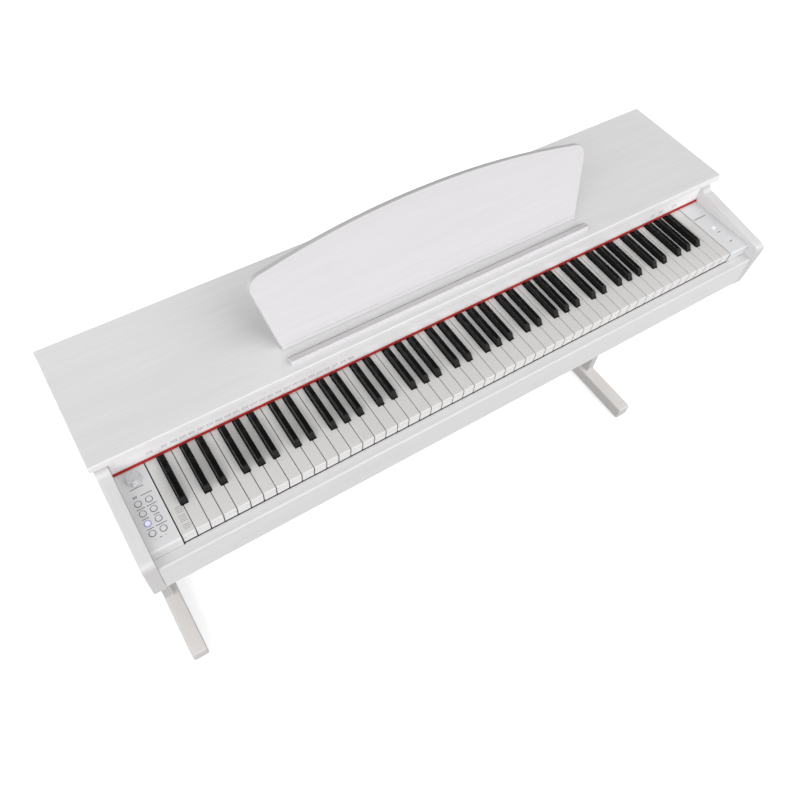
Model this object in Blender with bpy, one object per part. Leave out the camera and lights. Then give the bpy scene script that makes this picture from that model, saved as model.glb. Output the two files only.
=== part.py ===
"""Digital piano on a stand, in metres, +Z up.

The origin is on the floor, under the middle of the piano. +X points to the treble end, +Y away from the
player. The keys, pedals, panel buttons, knob and music desk are separate objects whose origins lie on
their own axes of motion.
"""

import math

import bmesh
import bpy

# Driving dimensions -----------------------------------------------------------------------------------
GAP = 0.0003                 # clearance left between two pieces that touch

KEY_PITCH = 0.0235           # one white key
KEY_GAP = 0.0009             # between two white keys
WHITE_COUNT = 52
KEYBOARD_HALF = KEY_PITCH * WHITE_COUNT / 2
KEY_TOP = 0.750              # playing surface above the floor
KEY_FRONT = -0.1876          # front edge of the white keys
WHITE_DEPTH = 0.026          # height of a white key's body
BLACK_DEPTH = 0.016          # depth of a black key's body below the playing surface
BLACK_RISE = 0.012           # black key top above the playing surface
BLACK_WIDTH = 0.0113
BLACK_TOP_WIDTH = 0.0095
BLACK_FRONT = KEY_FRONT + 0.0495
BLACK_NOSE = 0.0095          # run of a black key's sloping front
CAP_BACK = KEY_FRONT + 0.1428
NOTCH_SIDE = 0.0011          # clearance beside a black key
NOTCH_FRONT = 0.0012         # clearance in front of a black key
BAR_FRONT = KEY_FRONT + 0.212
BLACK_BODY_BACK = BAR_FRONT - 0.0012
BLACK_BAR_FRONT = BAR_FRONT + 0.0012
KEY_BACK = KEY_FRONT + 0.235
PIVOT_Y = KEY_FRONT + 0.232
PIVOT_Z = KEY_TOP - 0.009
WHITE_TAIL_DROP = 0.010      # the white keys' rear bar lies this far below the playing surface
BLACK_TAIL_DEPTH = 0.008     # the black keys' rear bar ends this far below it

PANEL_OUTER = 0.687          # outer face of the side panels
PANEL_THICK = 0.023
INNER = PANEL_OUTER - PANEL_THICK
SHELL_HALF = INNER - GAP     # half length of the boards between the side panels
CASE_BOTTOM = 0.646
CASE_FRONT = -0.2128
CASE_BACK = 0.2084

LID_HALF = 0.6915
LID_FRONT = -0.0466
LID_BACK = 0.2128
LID_TOP = 0.8187
LID_THICK = 0.0163
LID_BOTTOM = LID_TOP - LID_THICK

RAIL_FRONT = -0.2096
RAIL_BACK = -0.1904
RAIL_TOP = 0.7264
RAIL_BOTTOM = 0.654

BED_BOTTOM = 0.656
BED_TOP = 0.671
BACK_PANEL_FRONT = 0.196

NAME_BOARD_FRONT = -0.0346
NAME_BOARD_THICK = 0.012
NAME_BOARD_BOTTOM = KEY_TOP + 0.0015

CHEEK_INNER = 0.6125         # face beside the end key
CHEEK_WALL = 0.003
CHEEK_BACK = -0.010

DESK_FOOT_Y = 0.0044         # where the desk's front face meets the lid's plane
DESK_TILT = math.radians(22.5)
DESK_THICK = 0.013
DESK_BOTTOM = 0.0065         # along the desk's slope, as the three below
DESK_SHOULDER = 0.150
DESK_CROWN = 0.182
DESK_CORNER = 0.026
DESK_BOTTOM_HALF = 0.329
DESK_TOP_HALF = 0.354
HINGE_ALONG = 0.014
HINGE_BEHIND = 0.005
HINGE_X = 0.215

LEG_THICK = 0.0225
LEG_FRONT = 0.0245
FOOT_OUTER = 0.6895
FOOT_INNER = 0.651
FOOT_FRONT = -0.1355
FOOT_BACK = 0.2100
FOOT_HEIGHT = 0.039

PEDAL_PITCH = 0.072
PEDAL_AXIS_Y = 0.1670
PEDAL_AXIS_Z = 0.0680
PEDAL_TIP = 0.0520
PEDAL_THICK = 0.007
PEDAL_BOX_HALF = 0.170
PEDAL_BOX_FRONT = 0.1080
PEDAL_BOX_BOTTOM = 0.046
PEDAL_BOX_TOP = 0.128
ADJUSTER_Y = 0.136
ADJUSTER_TOP = 0.0570        # top of its stem, inside the pedal box
BACK_BOARD_FRONT = 0.188
BACK_BOARD_BACK = 0.202

CONTROL_BOTTOM = 0.7385      # lower end of a push button
SPINDLE_BOTTOM = 0.7350      # lower end of the knob's spindle
SPINDLE_RADIUS = 0.0031
KNOB_AT = (-0.6366, -0.0590)
KNOB_RADIUS = 0.0132
BUTTON_COLUMNS = (-0.6478, -0.6296)
BUTTON_FIRST_Y = -0.1021
BUTTON_PITCH = 0.0193
BUTTON_ROWS = 4
BUTTON_RADIUS = 0.0048
POWER_AT = (0.6365, -0.1156)
LOCK_AT = (0.6480, -0.1500)

SPEAKER_X = 0.470
SPEAKER_Y = 0.125
SPEAKER_RADIUS = 0.060
SLOT_WIDTH = 0.006           # of the grille under each speaker
SLOT_PITCH = 0.0135
SLOT_COUNT = 7
SOCKET_DEPTH = 0.014
SOCKETS = ((-0.314, 0.0050), (-0.290, 0.0042), (-0.272, 0.0042))     # x and radius
JACKS = (-0.5835, -0.5615)
JACK_RADIUS = 0.0036
JACK_DEPTH = 0.020
PORTS = ((-0.244, 0.0060, 0.0055), (-0.212, 0.0065, 0.0040))         # x, half width, half height

WHITE_STEPS = (0, 2, 4, 5, 7, 9, 11)       # semitones of the white keys above C
# Sideways shift of each black key's middle from the line between its two white keys.
BLACK_SHIFT = {1: -0.0026, 3: 0.0019, 6: -0.0038, 8: -0.0002, 10: 0.0034}
NOTE_NAMES = ("c", "c_sharp", "d", "d_sharp", "e", "f", "f_sharp", "g", "g_sharp", "a", "a_sharp", "b")
LOWEST_NOTE, HIGHEST_NOTE = 21, 108
MIDDLE_C = 60


# Scene, materials and objects -------------------------------------------------------------------------
def clear_scene():
    for old in list(bpy.data.objects):
        bpy.data.objects.remove(old, do_unlink=True)


def principled(name, color, roughness, metallic=0.0):
    material = bpy.data.materials.new(name)
    material.use_nodes = True
    shader = material.node_tree.nodes["Principled BSDF"]
    shader.inputs["Base Color"].default_value = (*color, 1.0)
    shader.inputs["Roughness"].default_value = roughness
    shader.inputs["Metallic"].default_value = metallic
    material.diffuse_color = (*color, 1.0)
    return material


def make_materials():
    return {
        "white_board": principled("white_board", (0.76, 0.76, 0.77), 0.45),
        "foot_board": principled("foot_board", (0.66, 0.64, 0.62), 0.5),
        "panel_plastic": principled("panel_plastic", (0.78, 0.78, 0.77), 0.4),
        "white_key": principled("white_key", (0.77, 0.76, 0.74), 0.3),
        "black_key": principled("black_key", (0.012, 0.012, 0.013), 0.35),
        "felt": principled("felt", (0.40, 0.02, 0.015), 0.95),
        "clear_knob": principled("clear_knob", (0.72, 0.73, 0.75), 0.1),
        "lit_button": principled("lit_button", (0.72, 0.70, 0.95), 0.3),
        "pedal_metal": principled("pedal_metal", (0.75, 0.75, 0.76), 0.15, 1.0),
        "steel": principled("steel", (0.55, 0.56, 0.58), 0.35, 1.0),
        "dark_plastic": principled("dark_plastic", (0.03, 0.03, 0.035), 0.55),
        "circuit_board": principled("circuit_board", (0.02, 0.12, 0.05), 0.5),
        "foot_rubber": principled("foot_rubber", (0.03, 0.03, 0.03), 0.8),
    }


def finish(name, bm, material, origin=(0.0, 0.0, 0.0)):
    """An object from a bmesh in world coordinates, with its origin moved to the given point."""
    bmesh.ops.remove_doubles(bm, verts=bm.verts, dist=1e-6)
    bmesh.ops.recalc_face_normals(bm, faces=bm.faces)
    bmesh.ops.translate(bm, verts=bm.verts, vec=[-c for c in origin])
    mesh = bpy.data.meshes.new(name)
    bm.to_mesh(mesh)
    bm.free()
    mesh.materials.append(material)
    obj = bpy.data.objects.new(name, mesh)
    obj.location = origin
    bpy.context.scene.collection.objects.link(obj)
    return obj


def add_box(bm, low, high):
    corners = [(x, y, z) for x in (low[0], high[0]) for y in (low[1], high[1]) for z in (low[2], high[2])]
    v = [bm.verts.new(c) for c in corners]
    for ring in ((0, 1, 3, 2), (4, 6, 7, 5), (0, 4, 5, 1), (2, 3, 7, 6), (0, 2, 6, 4), (1, 5, 7, 3)):
        bm.faces.new([v[i] for i in ring])


def box(name, low, high, material):
    bm = bmesh.new()
    add_box(bm, low, high)
    return finish(name, bm, material)


def grow(bm, faces, offset):
    """Extrudes a patch of faces and returns the moved ones. Inside a closed surface, no old face is left."""
    made = bmesh.ops.extrude_face_region(bm, geom=faces)["geom"]
    bmesh.ops.translate(bm, verts=[g for g in made if isinstance(g, bmesh.types.BMVert)], vec=offset)
    inside = [f for f in faces if f.is_valid and any(len(e.link_faces) > 2 for e in f.edges)]
    bmesh.ops.delete(bm, geom=inside, context="FACES")
    return [g for g in made if isinstance(g, bmesh.types.BMFace)]


def add_prism(bm, outline, offset):
    """A closed prism: a flat outline of 3-D points, swept by an offset."""
    face = bm.faces.new([bm.verts.new(p) for p in outline])
    grow(bm, [face], offset)


def prism(name, outline, offset, material, origin=(0.0, 0.0, 0.0)):
    bm = bmesh.new()
    add_prism(bm, outline, offset)
    return finish(name, bm, material, origin)


def add_turned(bm, profile, centre, segments):
    """A solid turned about a vertical axis: the profile is (radius, height) from the axis back to it."""
    rings = []
    for radius, height in profile:
        if radius == 0.0:
            rings.append([bm.verts.new((centre[0], centre[1], height))])
            continue
        circle = arc(centre, radius, 0, 360, segments)[:-1]
        rings.append([bm.verts.new((x, y, height)) for x, y in circle])
    for lower, upper in zip(rings, rings[1:]):
        for k in range(segments):
            a, b = lower[k % len(lower)], lower[(k + 1) % len(lower)]
            c, d = upper[(k + 1) % len(upper)], upper[k % len(upper)]
            bm.faces.new(list(dict.fromkeys((a, b, c, d))))


def turned(name, profile, centre, material, origin, segments=24):
    bm = bmesh.new()
    add_turned(bm, profile, centre, segments)
    return finish(name, bm, material, origin)


def arc(centre, radius, start, end, steps):
    """Points on a circle from one angle to another, in degrees."""
    angles = [math.radians(start + (end - start) * k / steps) for k in range(steps + 1)]
    return [(centre[0] + radius * math.cos(a), centre[1] + radius * math.sin(a)) for a in angles]


def hidden_cutter(name, bm):
    bmesh.ops.recalc_face_normals(bm, faces=bm.faces)
    mesh = bpy.data.meshes.new(name)
    bm.to_mesh(mesh)
    bm.free()
    cutter = bpy.data.objects.new(name, mesh)
    cutter.hide_render = True
    cutter.display_type = "WIRE"
    bpy.context.scene.collection.objects.link(cutter)
    return cutter


def boolean(obj, cutter, operation="DIFFERENCE"):
    modifier = obj.modifiers.new(operation.lower(), "BOOLEAN")
    modifier.operation = operation
    modifier.object = cutter


# Case --------------------------------------------------------------------------------------------------
def side_panel_outline():
    """The side panel's profile as (y, z): lower front, rounded nose, slope, cove under the lid, back."""
    nose = arc((CASE_FRONT + 0.0135, 0.7445), 0.0135, 180, 97, 5)
    cove = arc((-0.0514, 0.7915), 0.0130, 262, 360, 4)
    return [
        (-0.2076, CASE_BOTTOM),
        *nose,
        *cove,
        (-0.0384, LID_BOTTOM - GAP),
        (CASE_BACK, LID_BOTTOM - GAP),
        (CASE_BACK, CASE_BOTTOM),
    ]


def make_side_panels(materials):
    for side, name in ((-1, "side_panel_left"), (1, "side_panel_right")):
        outline = [(side * PANEL_OUTER, y, z) for y, z in side_panel_outline()]
        prism(name, outline, (-side * PANEL_THICK, 0, 0), materials["white_board"])


def make_boards(materials):
    white = materials["white_board"]
    lid_edge = LID_THICK / 2
    nose = arc((LID_FRONT + lid_edge, LID_TOP - lid_edge), lid_edge, 270, 90, 6)
    outline = [(-LID_HALF, y, z) for y, z in [*nose, (LID_BACK, LID_TOP), (LID_BACK, LID_BOTTOM)]]
    prism("top_lid", outline, (2 * LID_HALF, 0, 0), white)
    box(
        "case_back_panel",
        (-SHELL_HALF, BACK_PANEL_FRONT, RAIL_BOTTOM),
        (SHELL_HALF, CASE_BACK, LID_BOTTOM - GAP),
        white,
    )
    chamfer = 0.0025
    rail = [
        (RAIL_BACK, RAIL_BOTTOM),
        (RAIL_BACK, RAIL_TOP),
        (RAIL_FRONT + chamfer, RAIL_TOP),
        (RAIL_FRONT, RAIL_TOP - chamfer),
        (RAIL_FRONT, RAIL_BOTTOM),
    ]
    prism("front_rail", [(-SHELL_HALF, y, z) for y, z in rail], (2 * SHELL_HALF, 0, 0), white)
    box(
        "name_board",
        (-SHELL_HALF, NAME_BOARD_FRONT, NAME_BOARD_BOTTOM),
        (SHELL_HALF, NAME_BOARD_FRONT + NAME_BOARD_THICK, LID_BOTTOM - GAP),
        white,
    )
    box(
        "felt_strip",
        (-SHELL_HALF, NAME_BOARD_FRONT - GAP - 0.0022, KEY_TOP + 0.0008),
        (SHELL_HALF, NAME_BOARD_FRONT - GAP, KEY_TOP + 0.0046),
        materials["felt"],
    )
    box("music_ledge", (-0.330, -0.0316, LID_TOP + GAP), (0.330, -0.0186, LID_TOP + 0.0110), white)


def make_key_bed(materials):
    """The bottom board, with a grille of slots under each speaker."""
    bed = box(
        "key_bed",
        (-SHELL_HALF, RAIL_BACK + GAP, BED_BOTTOM),
        (SHELL_HALF, BACK_PANEL_FRONT - GAP, BED_TOP),
        materials["white_board"],
    )
    cutters = bmesh.new()
    for side in (-1, 1):
        for k in range(SLOT_COUNT):
            off = (k - (SLOT_COUNT - 1) / 2) * SLOT_PITCH
            half = math.sqrt((SPEAKER_RADIUS - 0.008) ** 2 - off**2)
            x = side * SPEAKER_X + off
            low = (x - SLOT_WIDTH / 2, SPEAKER_Y - half, BED_BOTTOM - 0.01)
            high = (x + SLOT_WIDTH / 2, SPEAKER_Y + half, BED_TOP + 0.01)
            add_box(cutters, low, high)
    boolean(bed, hidden_cutter("grille_cutter", cutters))


def button_places():
    """(name, x, y, radius) of every push button on the two control panels."""
    places = []
    for column, x in enumerate(BUTTON_COLUMNS):
        for row in range(BUTTON_ROWS):
            number = column * BUTTON_ROWS + row + 1
            places.append((f"panel_button_{number}", x, BUTTON_FIRST_Y - row * BUTTON_PITCH, BUTTON_RADIUS))
    places.append(("power_button", *POWER_AT, BUTTON_RADIUS + 0.0002))
    places.append(("lock_button", *LOCK_AT, BUTTON_RADIUS + 0.0002))
    return places


def make_control_panels(materials):
    """Two moulded covers beside the keys, open underneath, with a hole for each control."""
    hollows = bmesh.new()
    for side in (-1, 1):
        inner, outer = sorted((side * (CHEEK_INNER + CHEEK_WALL), side * (SHELL_HALF - CHEEK_WALL)))
        low = (inner, RAIL_BACK + GAP + CHEEK_WALL, BED_TOP - 0.01)
        add_box(hollows, low, (outer, CHEEK_BACK - CHEEK_WALL, KEY_TOP - CHEEK_WALL))
    hollow_cutter = hidden_cutter("control_panel_hollow_cutter", hollows)
    holes = [(x, y, radius + 0.0004) for _, x, y, radius in button_places()]
    holes.append((*KNOB_AT, SPINDLE_RADIUS + 0.0005))
    drills = bmesh.new()
    for x, y, radius in holes:
        low, high = KEY_TOP - CHEEK_WALL - 0.002, KEY_TOP + 0.005
        add_turned(drills, ((0.0, low), (radius, low), (radius, high), (0.0, high)), (x, y), 20)
    drill_cutter = hidden_cutter("control_panel_drill_cutter", drills)
    nose = 0.004
    front = RAIL_BACK + GAP
    top = [(CHEEK_BACK, BED_TOP + GAP), (CHEEK_BACK, KEY_TOP)]
    top += arc((front + nose, KEY_TOP - nose), nose, 90, 180, 4)
    outline = [*top, (front, BED_TOP + GAP)]
    for side, name in ((-1, "control_panel_left"), (1, "control_panel_right")):
        points = [(side * CHEEK_INNER, y, z) for y, z in outline]
        panel = prism(name, points, (side * (SHELL_HALF - CHEEK_INNER), 0, 0), materials["panel_plastic"])
        boolean(panel, hollow_cutter)
        boolean(panel, drill_cutter)


def make_controls(materials):
    plate_bottom = KEY_TOP - CHEEK_WALL
    for name, x, y, radius in button_places():
        lit = name in ("power_button", "panel_button_3")
        profile = (
            (0.0, CONTROL_BOTTOM),
            (radius + 0.0012, CONTROL_BOTTOM),
            (radius + 0.0012, plate_bottom - GAP),
            (radius, plate_bottom - GAP),
            (radius, KEY_TOP + 0.0008),
            (radius - 0.0004, KEY_TOP + 0.0012),
            (0.0, KEY_TOP + 0.0012),
        )
        material = materials["lit_button" if lit else "panel_plastic"]
        turned(name, profile, (x, y), material, (x, y, KEY_TOP), 20)
    profile = (
        (0.0, SPINDLE_BOTTOM),
        (SPINDLE_RADIUS, SPINDLE_BOTTOM),
        (SPINDLE_RADIUS, KEY_TOP + 0.0006),
        (KNOB_RADIUS, KEY_TOP + 0.0006),
        (KNOB_RADIUS - 0.0008, KEY_TOP + 0.0125),
        (KNOB_RADIUS - 0.0022, KEY_TOP + 0.0140),
        (0.0, KEY_TOP + 0.0140),
    )
    turned("volume_knob", profile, KNOB_AT, materials["clear_knob"], (*KNOB_AT, KEY_TOP), 32)


# Keyboard ----------------------------------------------------------------------------------------------
def white_index(note):
    """Place of a white key counted from the lowest one, or of the white key below a black one."""
    octave, step = divmod(note - 12, 12)
    below = sum(1 for s in WHITE_STEPS if s <= step) - 1
    return octave * 7 + below - 5


def is_white(note):
    return note % 12 in WHITE_STEPS


def black_middle(note):
    return -KEYBOARD_HALF + (white_index(note) + 1) * KEY_PITCH + BLACK_SHIFT[note % 12]


def white_outline(note):
    """Plan of a white key: (front left, front right, tail left, tail right) along x."""
    left = -KEYBOARD_HALF + white_index(note) * KEY_PITCH + KEY_GAP / 2
    right = left + KEY_PITCH - KEY_GAP
    reach = BLACK_WIDTH / 2 + NOTCH_SIDE
    tail_left, tail_right = left, right
    if note > LOWEST_NOTE and not is_white(note - 1):
        tail_left = black_middle(note - 1) + reach
    if note < HIGHEST_NOTE and not is_white(note + 1):
        tail_right = black_middle(note + 1) - reach
    return left, right, tail_left, tail_right


def add_face(bm, points, z):
    return bm.faces.new([bm.verts.new((x, y, z)) for x, y in points])


def rear_bar_cells(spans, front):
    """Plan cells of the bar that joins a group's tails: one behind each tail and one between two tails."""
    edges = [x for span in sorted(spans) for x in span]
    return [[(a, front), (b, front), (b, KEY_BACK), (a, KEY_BACK)] for a, b in zip(edges, edges[1:])]


def behind(limit):
    return lambda face: face.calc_center_median().y > limit


def make_white_keys(name, notes, materials):
    """One white key, or a group of them on a common rear bar, turning on the rear pivot."""
    bm = bmesh.new()
    notch = BLACK_FRONT - NOTCH_FRONT
    bottom = KEY_TOP - WHITE_DEPTH
    spans = []
    for note in notes:
        left, right, tail_left, tail_right = white_outline(note)
        spans.append((tail_left, tail_right))
        points = [(left, KEY_FRONT), (right, KEY_FRONT), (right, notch), (tail_right, notch)]
        points += [(tail_right, BAR_FRONT), (tail_left, BAR_FRONT), (tail_left, notch), (left, notch)]
        add_face(bm, list(dict.fromkeys(points)), bottom)
    for cell in rear_bar_cells(spans, BAR_FRONT):
        add_face(bm, cell, bottom)
    bmesh.ops.remove_doubles(bm, verts=bm.verts, dist=1e-6)
    layer = grow(bm, list(bm.faces), (0, 0, WHITE_DEPTH - WHITE_TAIL_DROP))
    keys = [face for face in layer if not behind(BAR_FRONT)(face)]
    grow(bm, keys, (0, 0, WHITE_TAIL_DROP))
    middle = sum(white_index(n) for n in notes) / len(notes) + 0.5
    x = -KEYBOARD_HALF + middle * KEY_PITCH
    return finish(name, bm, materials["white_key"], (x, PIVOT_Y, PIVOT_Z))


def make_black_keys(name, notes, materials):
    """One black key, or a group of them: raised caps on low bodies, joined by a bar over the white tails."""
    bm = bmesh.new()
    spans = []
    for note in notes:
        x = black_middle(note)
        left, right = x - BLACK_WIDTH / 2, x + BLACK_WIDTH / 2
        spans.append((left, right))
        lines = (BLACK_FRONT, CAP_BACK, BLACK_BODY_BACK, BLACK_BAR_FRONT)
        for front, back in zip(lines, lines[1:]):
            add_face(bm, [(left, front), (right, front), (right, back), (left, back)], KEY_TOP)
    for cell in rear_bar_cells(spans, BLACK_BAR_FRONT):
        add_face(bm, cell, KEY_TOP)
    bmesh.ops.remove_doubles(bm, verts=bm.verts, dist=1e-6)
    layer = grow(bm, list(bm.faces), (0, 0, -BLACK_TAIL_DEPTH))
    bodies = [face for face in layer if not behind(BLACK_BODY_BACK)(face)]
    grow(bm, bodies, (0, 0, BLACK_TAIL_DEPTH - BLACK_DEPTH))
    bm.faces.ensure_lookup_table()
    top = KEY_TOP - 1e-5
    caps = [f for f in bm.faces if f.calc_center_median().z > top and not behind(CAP_BACK)(f)]
    shrink = (BLACK_WIDTH - BLACK_TOP_WIDTH) / 2
    for face in grow(bm, caps, (0, 0, BLACK_RISE)):
        centre = face.calc_center_median()
        for vert in face.verts:
            vert.co.x += shrink if vert.co.x < centre.x else -shrink
            vert.co.y += BLACK_NOSE if vert.co.y < centre.y else 0.0
    x = sum(black_middle(n) for n in notes) / len(notes)
    return finish(name, bm, materials["black_key"], (x, PIVOT_Y, PIVOT_Z))


def make_keys(materials):
    """The octave from middle C has a piece for each key. The keys below and above it move as four groups."""
    for note in range(MIDDLE_C, MIDDLE_C + 12):
        make = make_white_keys if is_white(note) else make_black_keys
        make(f"key_{NOTE_NAMES[note % 12]}4", [note], materials)
    for part, notes in (
        ("bass", range(LOWEST_NOTE, MIDDLE_C)),
        ("treble", range(MIDDLE_C + 12, HIGHEST_NOTE + 1)),
    ):
        make_white_keys(f"white_keys_{part}", [n for n in notes if is_white(n)], materials)
        make_black_keys(f"black_keys_{part}", [n for n in notes if not is_white(n)], materials)


def make_key_frame(materials):
    """The chassis under the keys: a floor plate, front guide rail, switch rail and rear pivot rail."""
    floor, plate = BED_TOP + GAP, BED_TOP + 0.004
    guide_top = KEY_TOP - WHITE_DEPTH - 0.0125
    switch_top = KEY_TOP - WHITE_DEPTH - 0.0070
    rest_top = KEY_TOP - WHITE_DEPTH - 0.0004
    outline = [
        (KEY_FRONT + 0.006, floor),
        (KEY_FRONT + 0.006, guide_top),
        (KEY_FRONT + 0.016, guide_top),
        (KEY_FRONT + 0.016, plate),
        (KEY_FRONT + 0.118, plate),
        (KEY_FRONT + 0.118, switch_top),
        (KEY_FRONT + 0.146, switch_top),
        (KEY_FRONT + 0.146, plate),
        (KEY_FRONT + 0.229, plate),
        (KEY_FRONT + 0.229, rest_top),
        (KEY_BACK + 0.0015, rest_top),
        (KEY_BACK + 0.0015, KEY_TOP),
        (KEY_BACK + 0.0080, KEY_TOP),
        (KEY_BACK + 0.0080, floor),
    ]
    half = KEYBOARD_HALF + 0.0005
    prism("key_frame", [(-half, y, z) for y, z in outline], (2 * half, 0, 0), materials["dark_plastic"])


# Music desk --------------------------------------------------------------------------------------------
def desk_point(x, along, behind_face=0.0):
    """A point on the desk: sideways, up along its slope, and behind its front face."""
    y = DESK_FOOT_Y + along * math.sin(DESK_TILT) + behind_face * math.cos(DESK_TILT)
    z = LID_TOP + along * math.cos(DESK_TILT) - behind_face * math.sin(DESK_TILT)
    return (x, y, z)


def desk_axis():
    _, y, z = desk_point(0.0, HINGE_ALONG, DESK_THICK + HINGE_BEHIND)
    return y, z


def desk_outline():
    """The desk's face as (x, along): straight flared sides, round shoulders and an arched top."""
    span = DESK_TOP_HALF - DESK_CORNER
    rise = DESK_CROWN - DESK_SHOULDER
    radius = (span**2 + rise**2) / (2 * rise)
    half_angle = math.degrees(math.asin(span / radius))
    crown = arc((0.0, DESK_CROWN - radius), radius, 90 - half_angle, 90 + half_angle, 16)
    corner_height = DESK_SHOULDER - DESK_CORNER
    right = arc((span, corner_height), DESK_CORNER, -8, 80, 6)
    left = [(-x, s) for x, s in reversed(right)]
    return [(DESK_BOTTOM_HALF, DESK_BOTTOM), *right, *crown[1:-1], *left, (-DESK_BOTTOM_HALF, DESK_BOTTOM)]


def make_music_desk(materials):
    axis_y, axis_z = desk_axis()
    bm = bmesh.new()
    back = [v - f for v, f in zip(desk_point(0, 0, DESK_THICK), desk_point(0, 0))]
    add_prism(bm, [desk_point(x, s) for x, s in desk_outline()], back)
    finish("music_desk", bm, materials["white_board"], (0.0, axis_y, axis_z))
    for side, word in ((-1, "left"), (1, "right")):
        make_desk_hinge(side * HINGE_X, word, materials)


def make_desk_hinge(x, word, materials):
    """A friction hinge: a leaf with a barrel on the lid, and a leaf with two knuckles on the desk."""
    axis_y, axis_z = desk_axis()
    barrel, half, knuckle = 0.0038, 0.0090, 0.0060
    bm = bmesh.new()
    # Lid leaf: a foot plate with the barrel standing at its front edge.
    plate_top = LID_TOP + 0.0018
    outline = [
        (axis_y + 0.024, LID_TOP + GAP),
        (axis_y + 0.024, plate_top),
        (axis_y + 0.004, plate_top),
        *arc((axis_y, axis_z), barrel, 0, 180, 8),
        (axis_y - barrel, LID_TOP + GAP),
    ]
    add_prism(bm, [(x - half, y, z) for y, z in outline], (2 * half, 0, 0))
    finish(f"desk_hinge_base_{word}", bm, materials["steel"])
    # Desk leaf: a plate on the desk's back, bent round the ends of the barrel.
    reach = HINGE_ALONG + 0.030
    thick = 0.0016
    leaf = [
        desk_point(0, reach, DESK_THICK + GAP),
        desk_point(0, reach, DESK_THICK + GAP + thick),
        desk_point(0, HINGE_ALONG + 0.006, DESK_THICK + GAP + thick),
    ]
    ring = arc((axis_y, axis_z), barrel, 62, -100, 8)
    lower = desk_point(0, HINGE_ALONG - 0.003, DESK_THICK + GAP)
    outline = [(y, z) for _, y, z in leaf] + ring + [(lower[1], lower[2])]
    bm = bmesh.new()
    start, end = x - half - GAP - knuckle, x + half + GAP + knuckle
    add_prism(bm, [(start, y, z) for y, z in outline], (end - start, 0, 0))
    clear = bmesh.new()
    low = (x - half - GAP, axis_y - 0.02, axis_z - 0.02)
    high = (x + half + GAP, axis_y + 0.02, axis_z + 0.0058)
    add_box(clear, low, high)
    obj = finish(f"desk_hinge_leaf_{word}", bm, materials["steel"], (x, axis_y, axis_z))
    boolean(obj, hidden_cutter(f"desk_hinge_cutter_{word}", clear))


# Electronics -------------------------------------------------------------------------------------------
def make_electronics(materials):
    for side, word in ((-1, "left"), (1, "right")):
        bottom = BED_TOP + GAP
        profile = (
            (0.0, bottom + 0.012),
            (0.018, bottom + 0.012),
            (0.046, bottom + 0.003),
            (0.052, bottom),
            (SPEAKER_RADIUS, bottom),
            (SPEAKER_RADIUS, bottom + 0.003),
            (0.053, bottom + 0.004),
            (0.034, bottom + 0.026),
            (0.034, bottom + 0.044),
            (0.0, bottom + 0.044),
        )
        centre = (side * SPEAKER_X, SPEAKER_Y)
        turned(f"speaker_{word}", profile, centre, materials["dark_plastic"], (0, 0, 0), 28)
    board = bmesh.new()
    low_z, high_z = 0.681, 0.6828
    add_box(board, (-0.170, 0.072, low_z), (0.130, 0.180, high_z))
    main = finish("main_circuit_board", board, materials["circuit_board"])
    extras = bmesh.new()
    for x in (-0.162, 0.122):
        for y in (0.080, 0.172):
            foot, head = BED_TOP + GAP, low_z + 0.0005
            add_turned(extras, ((0.0, foot), (0.004, foot), (0.004, head), (0.0, head)), (x, y), 10)
    for x, y, wide, deep, tall in (
        (-0.090, 0.125, 0.024, 0.024, 0.0030),
        (-0.030, 0.130, 0.018, 0.014, 0.0028),
        (0.070, 0.120, 0.040, 0.022, 0.0200),
        (0.020, 0.160, 0.050, 0.010, 0.0100),
    ):
        low = (x - wide / 2, y - deep / 2, high_z - 0.0008)
        add_box(extras, low, (x + wide / 2, y + deep / 2, high_z + tall))
    boolean(main, hidden_cutter("circuit_extras", extras), "UNION")
    make_connector_box(materials)
    make_headphone_box(materials)


def add_socket(cutters, x, radius, height, mouth, depth):
    """A round blind hole along y from its mouth. A negative depth runs towards the player."""
    outside = mouth - math.copysign(0.002, depth)
    outline = [(x + dx, outside, height + dz) for dx, dz in arc((0, 0), radius, 0, 342, 19)]
    add_prism(cutters, outline, (0, mouth + depth - outside, 0))


def make_connector_box(materials):
    """A box under the key bed, facing back: a power inlet, two line outputs and two rectangular ports."""
    low = (-0.330, 0.150, BED_BOTTOM - 0.032)
    high = (-0.190, 0.194, BED_BOTTOM - GAP)
    body = box("connector_box", low, high, materials["dark_plastic"])
    cutters = bmesh.new()
    middle = (low[2] + high[2]) / 2
    for x, radius in SOCKETS:
        add_socket(cutters, x, radius, middle, high[1], -SOCKET_DEPTH)
    for x, half_wide, half_tall in PORTS:
        low_corner = (x - half_wide, high[1] - SOCKET_DEPTH, middle - half_tall)
        add_box(cutters, low_corner, (x + half_wide, high[1] + 0.002, middle + half_tall))
    boolean(body, hidden_cutter("socket_cutter", cutters))


def make_headphone_box(materials):
    """A small box under the key bed, near the player's left hand, with two blind jack sockets in front."""
    low = (-0.600, -0.176, BED_BOTTOM - 0.026)
    high = (-0.545, -0.126, BED_BOTTOM - GAP)
    body = box("headphone_box", low, high, materials["dark_plastic"])
    cutters = bmesh.new()
    for x in JACKS:
        add_socket(cutters, x, JACK_RADIUS, (low[2] + high[2]) / 2, low[1], JACK_DEPTH)
    boolean(body, hidden_cutter("jack_cutter", cutters))


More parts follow.
